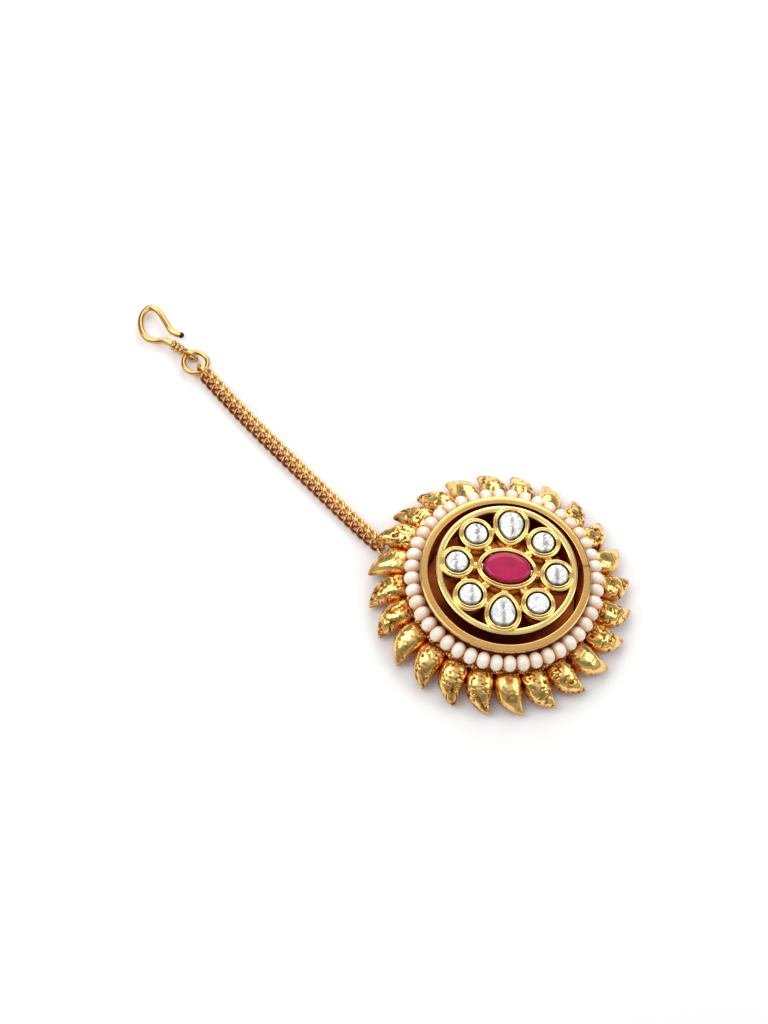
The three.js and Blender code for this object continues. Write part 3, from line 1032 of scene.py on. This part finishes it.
@dataclass
class RootTrim:
    """Granules and ribbed wire arcs where the leaves meet the cup."""

    gold: bpy.types.Material
    count: int = 24
    ring_radius: float = 16.6
    level: float = 5.0
    granule: float = 0.5
    rib: float = 0.2
    ribs: int = 9
    arc_radius: float = 1.75
    arc_depth: float = 0.75
    turn: float = math.radians(-5.5)
    rib_shade: float = 0.35
    granule_shade: float = 0.3
    # Each granule's place to the side, its height, and its share of the full size.
    cluster: tuple[Point, ...] = ((0.0, 0.0, 1.0), (-0.62, 0.25, 0.62), (0.62, 0.25, 0.62), (0.0, 0.75, 0.55))

    def build(self) -> bpy.types.Object:
        """Builds the trim as one piece.

        Returns:
            The trim.
        """
        mesh, _ = start_mesh()
        for index in range(self.count):
            join_part(mesh, lambda part, layer, index=index: self.add_cluster(part, layer, index))
        return finish_piece(mesh, "root_granules", [self.gold])

    def add_cluster(self, mesh: bmesh.types.BMesh, painted_shade: bmesh.types.BMLayerItem, index: int) -> None:
        """Adds the beaded arc of one leaf and the granules beside it.

        Args:
            mesh: The bmesh it is added to.
            painted_shade: The layer that holds each point's painted shade.
            index: The leaf's number.
        """
        angle = TURN * index / self.count + self.turn
        place = Matrix.Rotation(angle, 4, "Z")
        for rib in range(self.ribs):
            bow = math.pi * (rib / (self.ribs - 1) - 0.5)
            point = Vector(
                (
                    self.ring_radius - 0.1 + self.arc_depth * math.cos(bow),
                    self.arc_radius * math.sin(bow),
                    self.level + 0.55 - 0.35 * abs(math.sin(bow)),
                )
            )
            self.add_ball(mesh, painted_shade, place @ Matrix.Translation(point), self.rib, self.rib_shade)
        gap = Matrix.Rotation(angle + TURN / self.count / 2, 4, "Z")
        for side, lift, size in self.cluster:
            seat = gap @ Matrix.Translation((self.ring_radius, side, self.level - 0.1 + lift))
            self.add_ball(mesh, painted_shade, seat, self.granule * size, self.granule_shade)

    def add_ball(
        self,
        mesh: bmesh.types.BMesh,
        painted_shade: bmesh.types.BMLayerItem,
        seat: Matrix,
        radius: float,
        depth: float,
    ) -> None:
        """Adds one granule.

        Args:
            mesh: The bmesh it is added to.
            painted_shade: The layer that holds each point's painted shade.
            seat: Where the granule goes.
            radius: Its radius.
            depth: Its painted shade, with more painted shade below its middle.
        """
        ball = bmesh.ops.create_icosphere(mesh, subdivisions=2, radius=radius, matrix=seat)["verts"]
        middle = seat.translation.z
        # Painted shade, darker below each ball's middle.
        for vert in ball:
            vert[painted_shade] = depth + 0.5 * max(0.0, (middle - vert.co.z) / radius)


@dataclass
class PearlString:
    """The pearls strung round the collar."""

    pearl: bpy.types.Material
    thread: bpy.types.Material
    count: int = 44
    ring_radius: float = 15.95
    level: float = 7.4
    radius: float = 1.45
    thickness: float = 1.15
    unevenness: float = 0.035
    tilt: float = 0.06
    roundness: float = 0.86
    peach_shade: float = 1.1
    shade_start: float = 0.55
    even_blush: float = 0.09
    blush_spread: float = 0.08
    thread_radius: float = 0.3
    thread_sides: int = 8
    thread_steps: int = 132

    def build(self) -> tuple[bpy.types.Object, bpy.types.Object]:
        """Builds the beads and their thread.

        Returns:
            The beads and the thread.
        """
        mesh, _ = start_mesh()
        for index in range(self.count):
            join_part(mesh, lambda part, layer, index=index: self.add_bead(part, layer, index))
        beads = finish_piece(mesh, "pearl_beads", [self.pearl])
        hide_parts("pearl_string")
        cord, _ = start_mesh()
        rows = [
            (
                self.ring_radius + self.thread_radius * math.cos(TURN * side / self.thread_sides),
                self.level + self.thread_radius * math.sin(TURN * side / self.thread_sides),
            )
            for side in range(self.thread_sides)
        ]
        spin_profile(cord, rows, self.thread_steps, closed=True)
        return beads, finish_piece(cord, "pearl_thread", [self.thread])

    def add_bead(self, mesh: bmesh.types.BMesh, painted_shade: bmesh.types.BMLayerItem, index: int) -> None:
        """Adds one flattened bead with painted warm shade towards its string, where it meets its neighbours.

        Args:
            mesh: The bmesh it is added to.
            painted_shade: The layer that holds the painted shade of each point.
            index: The bead's number.
        """
        ball = bmesh.ops.create_uvsphere(mesh, u_segments=28, v_segments=18, radius=1.0)["verts"]
        sway = noise.noise(Vector((index * 1.7, 0.3, 5.1)))
        size = self.radius * (1.0 + self.unevenness * sway)
        place = (
            Matrix.Rotation(TURN * (index + 0.5) / self.count, 4, "Z")
            @ Matrix.Translation((self.ring_radius, 0, self.level))
            @ Matrix.Rotation(math.pi / 2 + self.tilt * sway, 4, "X")
        )
        tone = noise.noise(Vector((index * 3.1, 9.2, 1.4)))
        for vert in ball:
            pole = abs(vert.co.z)
            girth = math.hypot(vert.co.x, vert.co.y)
            grow = girth**self.roundness / girth if girth > 1e-6 else 1.0
            local = Vector((vert.co.x * grow * size, vert.co.y * grow * size, vert.co.z * self.thickness))
            vert.co = place @ local
            # Painted warm shade where the bead meets its neighbours, plus an even tint and a random tone.
            near_hole = max(0.0, (pole - self.shade_start) * self.peach_shade)
            vert[painted_shade] = near_hole + self.even_blush + self.blush_spread * tone


class Cut(Enum):
    """The outlines that the stones are cut to."""

    ROUND = "round"
    PEAR = "pear"
    OVAL = "oval"


@dataclass(frozen=True)
class StoneSeat:
    """One stone's place in the flower and its outline."""

    node: str
    cut: Cut
    ring: float
    turn: float
    half_length: float
    half_width: float
    top: float
    pear_point: float = 0.62
    pear_swell: float = 0.5

    def outline(self, angle: float, grow: float) -> Row:
        """Gives a point of the outline, pointed end to -x on a pear.

        Args:
            angle: The angle round the stone.
            grow: How far outside the stone the point lies.

        Returns:
            The point's x and y.
        """
        length, width = self.half_length + grow, self.half_width + grow
        if self.cut is Cut.PEAR:
            taper = self.pear_point + self.pear_swell * abs(math.sin(angle / 2 + math.pi / 2))
            return length * math.cos(angle), width * math.sin(angle) * taper
        return length * math.cos(angle), width * math.sin(angle)

    def place(self) -> Matrix:
        """Returns the matrix that puts the stone in the flower."""
        spin = Matrix.Rotation(self.turn, 4, "Z")
        return spin @ Matrix.Translation((self.ring, 0, 0))


@dataclass(frozen=True)
class Flower:
    """The layout of the stones: round ones and two pears round one oval."""

    count: int = 8
    pears: tuple[int, int] = (1, 5)
    wide_set: tuple[int, int] = (3, 7)
    round_ring: float = 8.25
    wide_ring: float = 8.65
    pear_ring: float = 8.2
    round_half: float = 1.95
    pear_half: Row = (2.75, 2.2)
    oval_half: Row = (4.2, 2.9)
    oval_turn: float = math.radians(-45)
    top: float = 12.1
    oval_top: float = 12.4

    def seats(self) -> list[StoneSeat]:
        """Lays the stones out.

        Returns:
            The seats, the oval last.
        """
        seats = []
        rounds = pears = 0
        for index in range(self.count):
            turn = TURN / self.count * index
            if index in self.pears:
                pears += 1
                name = f"pear_stone_{pears}"
                seats.append(StoneSeat(name, Cut.PEAR, self.pear_ring, turn, *self.pear_half, self.top))
                continue
            rounds += 1
            name = f"round_stone_{rounds}"
            ring = self.wide_ring if index in self.wide_set else self.round_ring
            seats.append(StoneSeat(name, Cut.ROUND, ring, turn, self.round_half, self.round_half, self.top))
        seats.append(StoneSeat("ruby_stone", Cut.OVAL, 0.0, self.oval_turn, *self.oval_half, self.oval_top))
        return seats


@dataclass
class FloralFrame:
    """The pierced frame of bezels inside the collar."""

    gold: bpy.types.Material
    copper: bpy.types.Material
    seats: list[StoneSeat]
    dish_radius: float = 7.1
    outer: float = 12.25
    inner: float = 11.05
    bottom: float = 10.1
    top: float = 11.3
    bezel_bottom: float = 9.2
    bezel_top: float = 11.85
    wall: float = 0.8
    gap: float = 0.3
    post_radius: float = 1.8
    post_foot: float = 1.1
    dish_depth: float = 0.6
    web_count: int = 8
    web_bevel: float = 0.22
    # Radii of a web's inner and outer ends, and its width.
    oval_web: Point = (3.6, 6.0, 1.3)
    ring_web: Point = (10.6, 11.5, 2.6)
    side_web: Point = (7.0, 8.25, 0.9)
    bezel_steps: int = 64
    # Share of the wall outwards, height over the bezel's foot, and painted shade.
    foot: tuple[Point, ...] = ((0.6, 0.0, 0.6), (1.0, 0.4, 0.5))
    inner_foot: Point = (0.0, 0.6, 0.8)
    # Share of the wall outwards, drop below the bezel's top, and painted shade.
    lip: tuple[Point, ...] = (
        (1.0, 0.7, 0.3),
        (0.97, 0.45, 0.15),
        (0.85, 0.25, 0.05),
        (0.66, 0.15, 0.0),
        (0.5, 0.2, 0.1),
        (0.42, 0.3, 0.4),
        (0.34, 0.18, 0.15),
        (0.22, 0.0, 0.0),
        (0.08, 0.0, 0.0),
        (-0.05, 0.1, 0.05),
        (-0.125, 0.3, 0.4),
        (0.0, 0.6, 0.7),
    )

    def build(self) -> list[bpy.types.Object]:
        """Builds the ring, its webs and post, and the bezels.

        Returns:
            The frame's pieces.
        """
        mesh, painted_shade = start_mesh()
        self.add_ring(mesh)
        self.add_webs(mesh)
        self.add_post(mesh)
        # Painted shade on the lower part of the ring, the webs and the post.
        for vert in mesh.verts:
            vert[painted_shade] = 0.06 if vert.co.z > self.bottom + 0.3 else 0.5
        ring = finish_piece(mesh, "frame_ring", [self.gold])
        dish = self.copper_dish()
        mesh, _ = start_mesh()
        for seat in self.seats:
            join_part(mesh, lambda part, layer, seat=seat: self.add_bezel(part, layer, seat))
        bezels = finish_piece(mesh, "stone_bezels", [self.gold])
        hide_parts("floral_frame")
        return [ring, dish, bezels]

    def copper_dish(self) -> bpy.types.Object:
        """Builds the dark copper dish that shows between the bezels and the oval.

        Returns:
            The dish.
        """
        mesh, painted_shade = start_mesh()
        level = self.bezel_bottom
        profile = rounded(
            [
                (0.0, level - self.dish_depth, 0.0),
                (self.dish_radius, level - self.dish_depth, 0.1),
                (self.dish_radius, level, 0.1),
                (self.dish_radius * 0.75, level, 0.0),
                (self.dish_radius * 0.5, level, 0.0),
                (0.0, level, 0.0),
            ]
        )
        spin_profile(mesh, profile, 96, closed=False)
        for vert in mesh.verts:
            dent = noise.noise(vert.co * 1.7)
            vert[painted_shade] = 0.25 + 0.5 * max(0.0, dent)
        return finish_piece(mesh, "copper_dish", [self.copper])

    def add_ring(self, mesh: bmesh.types.BMesh) -> None:
        """Adds the outer ring.

        Args:
            mesh: The bmesh it is added to.
        """
        middle = (self.inner, (self.bottom + self.top) / 2, 0.0)
        rows = rounded(
            [
                middle,
                (self.inner, self.bottom, 0.1),
                (self.outer, self.bottom, 0.1),
                (self.outer, self.top, 0.3),
                (self.inner, self.top, 0.45),
                middle,
            ]
        )
        spin_profile(mesh, rows[:-1], 160, closed=True)

    def add_webs(self, mesh: bmesh.types.BMesh) -> None:
        """Adds the webs that tie the bezels to each other, the oval and the ring.

        Args:
            mesh: The bmesh it is added to.
        """
        step = TURN / self.web_count
        for index in range(self.web_count):
            turn = Matrix.Rotation(step * index, 4, "Z")
            self.add_web(mesh, turn, self.oval_web)
            self.add_web(mesh, turn, self.ring_web)
            self.add_web(mesh, Matrix.Rotation(step * (index + 0.5), 4, "Z"), self.side_web)

    def add_web(self, mesh: bmesh.types.BMesh, turn: Matrix, web: Point) -> None:
        """Adds one rounded bar that lies along a radius.

        Args:
            mesh: The bmesh it is added to.
            turn: The bar's direction.
            web: Radii of its inner and outer ends, and its width.
        """
        start, end, width = web
        height = self.top - self.bottom - 0.15
        size = Matrix.Diagonal((end - start, width, height, 1.0))
        seat = turn @ Matrix.Translation(((start + end) / 2, 0, self.bottom + height / 2)) @ size
        cube = bmesh.ops.create_cube(mesh, size=1.0, matrix=seat)["verts"]
        edges = edges_at(cube)
        bmesh.ops.bevel(
            mesh,
            geom=edges,
            offset=self.web_bevel,
            affect="EDGES",
            segments=3,
            profile=0.5,
            material=-1,
        )

    def add_post(self, mesh: bmesh.types.BMesh) -> None:
        """Adds the hidden post under the oval.

        Args:
            mesh: The bmesh it is added to.
        """
        depth = self.bezel_bottom + 0.3 - self.post_foot
        seat = Matrix.Translation((0, 0, self.post_foot + depth / 2))
        bmesh.ops.create_cone(
            mesh,
            cap_ends=True,
            segments=32,
            radius1=self.post_radius,
            radius2=self.post_radius,
            depth=depth,
            matrix=seat,
        )

    def add_bezel(self, mesh: bmesh.types.BMesh, painted_shade: bmesh.types.BMLayerItem, seat: StoneSeat) -> None:
        """Adds one cup with a double rolled lip.

        Args:
            mesh: The bmesh it is added to.
            painted_shade: The layer that holds each point's painted shade.
            seat: The stone it holds.
        """
        outside = [(share, self.bezel_bottom + lift, depth) for share, lift, depth in self.foot]
        over = [(share, self.bezel_top - drop, depth) for share, drop, depth in self.lip]
        share, lift, depth = self.inner_foot
        rows = [*outside, *over, (share, self.bezel_bottom + lift, depth)]
        place = seat.place()

        def corner(row: int, angle: float) -> tuple[Vector, float]:
            """Returns a corner of the cup and its painted shade."""
            share, level, depth = rows[row]
            outline = seat.outline(angle, self.gap + self.wall * share)
            return place @ Vector((*outline, level)), depth

        grow_rings(mesh, painted_shade, self.bezel_steps, len(rows), corner)


@dataclass
class SetStones:
    """The foil backed stones, the clear ones with uneven flat facets."""

    clear: bpy.types.Material
    ruby: bpy.types.Material
    seats: list[StoneSeat]
    floor: float = 9.8
    girdle: float = 11.35
    streak_turn: float = math.radians(52)
    streak_width: float = 0.34
    facet_depth: float = 0.14
    plain_stone: int = 6
    facets: int = 22
    oval_steps: int = 48
    # Share of the outline and drop below the stone's top, from the girdle up to the table.
    crown: tuple[Row, ...] = ((0.95, 0.3), (0.88, 0.08), (0.82, 0.02), (0.6, 0.0), (0.38, 0.0), (0.16, 0.0))
    crown_edge: float = 0.86
    streak_shade: float = 0.45
    facet_shade: float = 0.7
    edge_shade: float = 0.3
    oval_shade: float = 0.12
    oval_slope: float = 0.1
    oval_edge_shade: float = 0.4

    def build(self) -> list[bpy.types.Object]:
        """Builds every stone.

        Returns:
            The stones.
        """
        return [self.stone(seat, index) for index, seat in enumerate(self.seats)]

    def stone(self, seat: StoneSeat, index: int) -> bpy.types.Object:
        """Builds one stone through rings of its outline.

        Args:
            seat: The stone's seat.
            index: The stone's number.

        Returns:
            The stone.
        """
        oval = seat.cut is Cut.OVAL
        steps = self.oval_steps if oval else self.facets
        pavilion = [(0.6, self.floor), (0.97, self.girdle - 0.5), (1.0, self.girdle)]
        rows = pavilion + [(share, seat.top - drop) for share, drop in self.crown]
        place = seat.place()
        middle = place @ Vector((0, 0, 0))
        sway = noise.noise(Vector((index * 2.3, 4.1, 0.7)))
        along = Vector((math.cos(self.streak_turn), math.sin(self.streak_turn)))
        across = along.orthogonal()

        def corner(row: int, angle: float) -> tuple[Vector, float]:
            """Returns a corner of the stone and its painted reflection and shade."""
            share, level = rows[row]
            x, y = seat.outline(angle, 0.0)
            spot = place @ Vector((x * share, y * share, level))
            aside = (spot - middle).xy.dot(across)
            edge = max(0.0, share - self.crown_edge) / (1.0 - self.crown_edge)
            # The ruby's painted shade grows towards one side and towards its edge.
            if oval:
                slope = self.oval_slope * (spot - middle).xy.dot(along) / seat.half_width
                return spot, self.oval_shade + slope + edge * self.oval_edge_shade
            # The clear stones' painted reflection: a grey streak at one angle on all but the plain stone,
            # darker patches on some facets, and more towards the girdle.
            facet = noise.noise(spot * 1.9 + Vector((index * 5.1, 0, 0)))
            spot.z -= self.facet_depth * abs(facet) if row > len(pavilion) else 0.0
            offset = (aside - 0.5 * sway) / self.streak_width
            streak = 0.0 if index == self.plain_stone else math.exp(-(offset**2))
            facing = max(0.0, facet - 0.2) * self.facet_shade
            return spot, self.streak_shade * streak + facing + edge * self.edge_shade

        mesh, painted_shade = start_mesh()
        grow_rings(mesh, painted_shade, steps, len(rows), corner)
        material, slot = (self.ruby, "ruby_glass") if oval else (self.clear, "clear_stone")
        piece = finish_piece(mesh, f"{seat.node}_cut", [material], smooth=oval)
        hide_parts(seat.node)
        return piece


# Chain, ring and hook


@dataclass
class LinkChain:
    """The curb chain that lies beside the pendant, rolled on to its edge."""

    gold: bpy.types.Material
    level: float = 1.5
    count: int = 31
    pitch: float = 1.595
    ring_reach: float = 1.2
    half_length: float = 1.26
    half_width: float = 1.24
    roll: float = math.radians(50)
    twist: float = math.radians(44)
    wire: float = 0.68
    swell: float = 0.2
    end_half_length: float = 1.5
    end_half_width: float = 1.07
    end_wire: float = 0.6
    end_overlap: float = 0.52
    end_reach: float = 1.0
    lead: float = 3.0
    steps: int = 40
    sides: int = 14
    end_sides: int = 12
    shade: float = 0.75
    shade_height: float = 1.3
    route: list[Row] = field(
        default_factory=lambda: [(-14.85, 66.4), (-14.3, 52.6), (-12.85, 36.0), (-11.3, 21.2), (-9.3, 15.6)]
    )

    def __post_init__(self) -> None:
        """Lays the centre line out."""
        points = [Vector((x, y, self.level)) for x, y in self.route]
        ahead = (points[1] - points[0]).normalized()
        self.line = smooth_curve([points[0] - ahead * self.lead, *points], 60)
        self.first = self.half_length - self.ring_reach
        self.last = self.first + self.pitch * (self.count - 1)
        self.end_link = self.last + self.half_length + self.end_half_length - self.end_overlap
        self.length = self.end_link + self.end_half_length - self.end_reach

    def seat(self, distance: float) -> Matrix:
        """Gives the frame at a distance along the centre line.

        Args:
            distance: Millimetres from the jump ring's wire.

        Returns:
            The matrix, x along the chain.
        """
        left = distance + self.lead
        for low, high in zip(self.line, self.line[1:]):
            step = (high - low).length
            if left <= step:
                break
            left -= step
        ahead = (high - low).normalized()
        heading = math.atan2(ahead.y, ahead.x)
        return Matrix.Translation(low + ahead * left) @ Matrix.Rotation(heading, 4, "Z")

    def lean(self, index: int, share: float) -> float:
        """Gives how far a link's plane leans from level.

        Args:
            index: The link's number from the jump ring.
            share: From -1 at the ring's end of the link to 1 at the other.

        Returns:
            The angle: the first link stands upright and the last lies flat.
        """
        if index == 0:
            return math.pi / 2
        if index == self.count - 1:
            return 0.0
        return self.roll + self.twist * share

    def curb_route(self, index: int, angle: float) -> Vector:
        """Returns the centre line of a link at an angle."""
        lean = self.lean(index, math.cos(angle))
        across = self.half_width * math.sin(angle)
        return Vector((self.half_length * math.cos(angle), across * math.cos(lean), across * math.sin(lean)))

    def end_route(self, angle: float) -> Vector:
        """Returns the centre line of an upright end link at an angle."""
        return Vector((self.end_half_length * math.cos(angle), 0.0, self.end_half_width * math.sin(angle)))

    def build(self) -> bpy.types.Object:
        """Builds all the links as one piece.

        Returns:
            The chain.
        """
        mesh, painted_shade = start_mesh()
        for index in range(self.count):
            join_part(mesh, lambda part, _, index=index: self.add_link(part, index))
        bent_ring(mesh, self.end_route, self.end_wire, self.steps, self.end_sides, self.seat(self.end_link))
        # Painted shade, darker towards the bottom of the links.
        for vert in mesh.verts:
            below = (self.level + 0.7 - vert.co.z) / self.shade_height
            vert[painted_shade] = 0.03 + self.shade * max(0.0, min(1.0, below))
        piece = finish_piece(mesh, "chain_links", [self.gold])
        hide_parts("chain")
        return piece

    def add_link(self, mesh: bmesh.types.BMesh, index: int) -> None:
        """Adds one curb link.

        Args:
            mesh: The bmesh it is added to.
            index: The link's number from the jump ring.
        """
        place = self.seat(self.first + self.pitch * index)

        def route(angle: float) -> Vector:
            """Returns the link's centre line at an angle."""
            return self.curb_route(index, angle)

        bent_ring(mesh, route, self.wire, self.steps, self.sides, place, self.swell)


@dataclass
class SmallRings:
    """The jump ring and the loop under the leaves."""

    polished: bpy.types.Material
    antique: bpy.types.Material
    chain: LinkChain
    ring_centre: Row = (-14.75, 68.6)
    ring_radius: float = 2.2
    ring_wire: float = 0.9
    loop_radius: float = 1.55
    loop_wire: float = 0.7
    steps: int = 64
    sides: int = 20

    def build(self) -> list[bpy.types.Object]:
        """Builds both rings.

        Returns:
            The jump ring and the chain loop.
        """
        seat = Matrix.Translation((*self.ring_centre, self.chain.level))
        size = (self.ring_radius, self.ring_wire)
        ring = self.ring("jump_ring_wire", self.polished, "polished_gold", size, seat)
        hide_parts("jump_ring")
        inward = self.chain.seat(self.chain.length) @ Matrix.Translation((self.loop_radius, 0, 0))
        size = (self.loop_radius, self.loop_wire)
        loop = self.ring("chain_loop", self.antique, "antique_gold", size, inward)
        return [ring, loop]

    def ring(
        self,
        name: str,
        gold: bpy.types.Material,
        slot: str,
        size: Row,
        seat: Matrix,
    ) -> bpy.types.Object:
        """Builds one round ring of wire.

        Args:
            name: The piece's name.
            gold: Its finish.
            slot: The record's material slot; not used.
            size: Radius of the wire's centre line, and the wire's diameter.
            seat: Where the ring goes.

        Returns:
            The ring.
        """
        radius, wire = size

        def route(angle: float) -> Vector:
            """Returns the wire's centre at an angle."""
            return Vector((radius * math.cos(angle), radius * math.sin(angle), 0))

        mesh, painted_shade = start_mesh()
        bent_ring(mesh, route, wire, self.steps, self.sides, seat)
        for vert in mesh.verts:
            vert[painted_shade] = PLAIN_DEPTH
        return finish_piece(mesh, name, [gold])


@dataclass
class HairHook:
    """The hook: an eye, a wrapped neck and one open bight of wire."""

    gold: bpy.types.Material
    dark: bpy.types.Material
    level: float = 1.5
    wire: float = 1.1
    eye_half_length: float = 1.5
    eye_half_height: float = 1.05
    eye_wire: float = 0.75
    neck_radius: float = 0.95
    wraps: int = 3
    wrap_pitch: float = 0.85
    wrap_slant: float = math.radians(14)
    tip_length: float = 0.85
    tip_points: float = 3.2
    wire_sides: int = 20
    ring_sides: int = 14
    eye_steps: int = 40
    wrap_steps: int = 28
    route: list[Row] = field(
        default_factory=lambda: [
            (-15.1, 71.85),
            (-16.0, 74.6),
            (-16.7, 75.8),
            (-17.8, 76.5),
            (-18.7, 77.6),
            (-18.8, 79.0),
            (-18.2, 80.6),
            (-17.2, 81.9),
            (-15.9, 82.7),
            (-14.5, 82.8),
            (-13.8, 81.9),
            (-13.7, 80.6),
            (-14.0, 78.6),
            (-14.3, 76.8),
            (-13.9, 75.5),
            (-13.0, 74.4),
        ]
    )

    def build(self) -> list[bpy.types.Object]:
        """Builds the bent wire and its neck.

        Returns:
            The hook's pieces.
        """
        points = [Vector((x, y, self.level)) for x, y in self.route]
        line = smooth_curve(points, 8)
        radius = self.wire / 2
        mesh, painted_shade = start_mesh()
        girths = [radius * self.girth(index, len(line)) for index in range(len(line))]
        sweep_wire(mesh, painted_shade, line, girths, self.wire_sides)
        heading = math.atan2(points[1].y - points[0].y, points[1].x - points[0].x)
        turn = Matrix.Rotation(heading, 4, "Z")
        seat = Matrix.Translation(points[0]) @ turn
        eye = seat @ Matrix.Translation((-self.eye_half_length, 0, 0))
        bent_ring(mesh, self.eye_route, self.eye_wire, self.eye_steps, self.ring_sides, eye)
        lean = Matrix.Rotation(self.wrap_slant, 4, "Z") @ Matrix.Rotation(math.pi / 2, 4, "Y")
        for wrap in range(self.wraps):
            step = Matrix.Translation((self.wrap_pitch * (wrap + 0.5), 0, 0))
            place = seat @ step @ lean
            bent_ring(mesh, self.wrap_route, self.wrap_pitch, self.wrap_steps, self.ring_sides, place)
        for vert in mesh.verts:
            vert[painted_shade] = PLAIN_DEPTH
        tip = points[-1]
        for face in mesh.faces:
            if (face.calc_center_median() - tip).length < self.tip_length:
                face.material_index = 1
        hook = finish_piece(mesh, "hair_hook_wire", [self.gold, self.dark])
        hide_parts("hair_hook")
        return [hook]

    def eye_route(self, angle: float) -> Vector:
        """Returns the centre line of the upright eye at an angle."""
        return Vector((self.eye_half_length * math.cos(angle), 0, self.eye_half_height * math.sin(angle)))

    def wrap_route(self, angle: float) -> Vector:
        """Returns the centre line of one wrap of the neck at an angle."""
        reach = self.neck_radius - self.wrap_pitch / 2
        return Vector((reach * math.cos(angle), reach * math.sin(angle), 0))

    def girth(self, index: int, count: int) -> float:
        """Gives the wire's taper: rounded over at the free tip.

        Args:
            index: The point's number.
            count: How many points the wire has.

        Returns:
            The share of the full radius.
        """
        rounding = 3 - (count - 1 - index)
        return math.sqrt(max(0.0, 1.0 - (rounding / self.tip_points) ** 2)) if rounding > 0 else 1.0


# Studio


@dataclass(frozen=True)
class Softbox:
    """A rectangular light that faces the pendant."""

    name: str
    spot: Point
    width: float
    height: float
    power: float

    def hang(self, aim: Vector) -> None:
        """Hangs the light.

        Args:
            aim: The place it faces, in millimetres.
        """
        data = bpy.data.lights.new(self.name, "AREA")
        data.shape = "RECTANGLE"
        data.size = self.width * MM
        data.size_y = self.height * MM
        data.energy = self.power
        light = bpy.data.objects.new(self.name, data)
        place = Vector(self.spot) * MM
        turn = (aim * MM - place).to_track_quat("-Z", "Y")
        light.matrix_world = Matrix.Translation(place) @ turn.to_matrix().to_4x4()
        bpy.context.scene.collection.objects.link(light)


@dataclass
class Studio:
    """Floor, lights and the camera at the photograph's angle."""

    spot: Point = (-154.577, -107.154, 380.823)
    right: Point = (0.7745, -0.62681, 0.08522)
    up: Point = (0.52926, 0.71589, 0.45539)
    lens: float = 85.0
    aim: Point = (0.0, 20.0, 5.0)
    floor_tone: float = 0.97
    floor_half: float = 4000.0
    # Height in the room, from 0 at the bottom to 1 at the top, and brightness there.
    room_tones: tuple[Row, ...] = ((0.0, 0.12), (0.2, 0.55), (0.45, 0.16), (0.72, 0.35), (0.9, 0.75))
    softboxes: tuple[Softbox, ...] = (
        Softbox("key", (-180, 120, 260), 220, 320, 0.56),
        Softbox("rim", (160, 200, 180), 190, 280, 0.42),
        Softbox("fill", (200, -180, 220), 220, 220, 0.34),
    )

    def build(self) -> None:
        """Builds the floor, the world, the lights and the camera."""
        self.floor()
        self.world()
        for softbox in self.softboxes:
            softbox.hang(Vector(self.aim))
        self.camera()
        bpy.context.scene.view_settings.view_transform = "Standard"

    def floor(self) -> None:
        """Lays the pale floor."""
        mesh = bmesh.new()
        bmesh.ops.create_grid(mesh, x_segments=1, y_segments=1, size=self.floor_half)
        bmesh.ops.scale(mesh, vec=Vector((MM, MM, MM)), verts=mesh.verts)
        data = bpy.data.meshes.new("pale_floor")
        mesh.to_mesh(data)
        mesh.free()
        material, tree, shader = new_material("pale_floor")
        grain = tree.nodes.new("ShaderNodeTexNoise")
        grain.inputs["Scale"].default_value = 900.0
        ramp = tree.nodes.new("ShaderNodeMapRange")
        ramp.inputs["To Min"].default_value = 0.55
        ramp.inputs["To Max"].default_value = 0.65
        place = tree.nodes.new("ShaderNodeTexCoord")
        tree.links.new(place.outputs["Object"], grain.inputs["Vector"])
        tree.links.new(grain.outputs["Fac"], ramp.inputs["Value"])
        tree.links.new(ramp.outputs["Result"], shader.inputs["Roughness"])
        pale = Colour(self.floor_tone, self.floor_tone, self.floor_tone)
        shader.inputs["Base Color"].default_value = pale.rgba()
        shader.inputs["Specular IOR Level"].default_value = 0.1
        data.materials.append(material)
        floor = bpy.data.objects.new("pale_floor", data)
        bpy.context.scene.collection.objects.link(floor)

    def world(self) -> None:
        """Sets the even light of the room."""
        world = bpy.data.worlds.new("studio_room")
        world.use_nodes = True
        tree = world.node_tree
        back = tree.nodes["Background"]
        back.inputs["Strength"].default_value = 1.0
        place = tree.nodes.new("ShaderNodeTexCoord")
        split = tree.nodes.new("ShaderNodeSeparateXYZ")
        ramp = tree.nodes.new("ShaderNodeValToRGB")
        tree.links.new(place.outputs["Generated"], split.inputs["Vector"])
        tree.links.new(split.outputs["Z"], ramp.inputs["Fac"])
        stops = ramp.color_ramp.elements
        for index, (height, tone) in enumerate(self.room_tones):
            stop = stops[index] if index < 2 else stops.new(height)
            stop.position = height
            stop.color = (tone, tone, tone, 1.0)
        tree.links.new(ramp.outputs["Color"], back.inputs["Color"])
        bpy.context.scene.world = world

    def camera(self) -> None:
        """Sets the camera up."""
        data = bpy.data.cameras.new("camera")
        data.lens = self.lens
        data.sensor_fit = "VERTICAL"
        data.sensor_height = 36.0
        data.clip_start = 0.01
        camera = bpy.data.objects.new("camera", data)
        right, up = Vector(self.right).normalized(), Vector(self.up)
        back = right.cross(up).normalized()
        up = back.cross(right)
        turn = Matrix((right, up, back)).transposed().to_4x4()
        camera.matrix_world = Matrix.Translation(Vector(self.spot) * MM) @ turn
        bpy.context.scene.collection.objects.link(camera)
        bpy.context.scene.camera = camera


def main() -> None:
    """Builds the dressed maang tikka piece by piece."""
    logging.basicConfig(level=logging.INFO, format="%(message)s")
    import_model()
    groups = Groups()
    finishes = Finishes(groups)
    seats = Flower().seats()
    SunCup(finishes.antique, finishes.collar, finishes.recess).build()
    MangoLeaves(finishes.antique).build()
    RootTrim(finishes.antique).build()
    PearlString(finishes.pearl, finishes.thread).build()
    FloralFrame(finishes.polished, finishes.copper, seats).build()
    SetStones(finishes.clear, finishes.ruby, seats).build()
    chain = LinkChain(finishes.chain_gold)
    chain.build()
    SmallRings(finishes.hook_gold, finishes.antique, chain).build()
    HairHook(finishes.hook_gold, finishes.tip_dark).build()
    Studio().build()


if __name__ == "__main__":
    main()
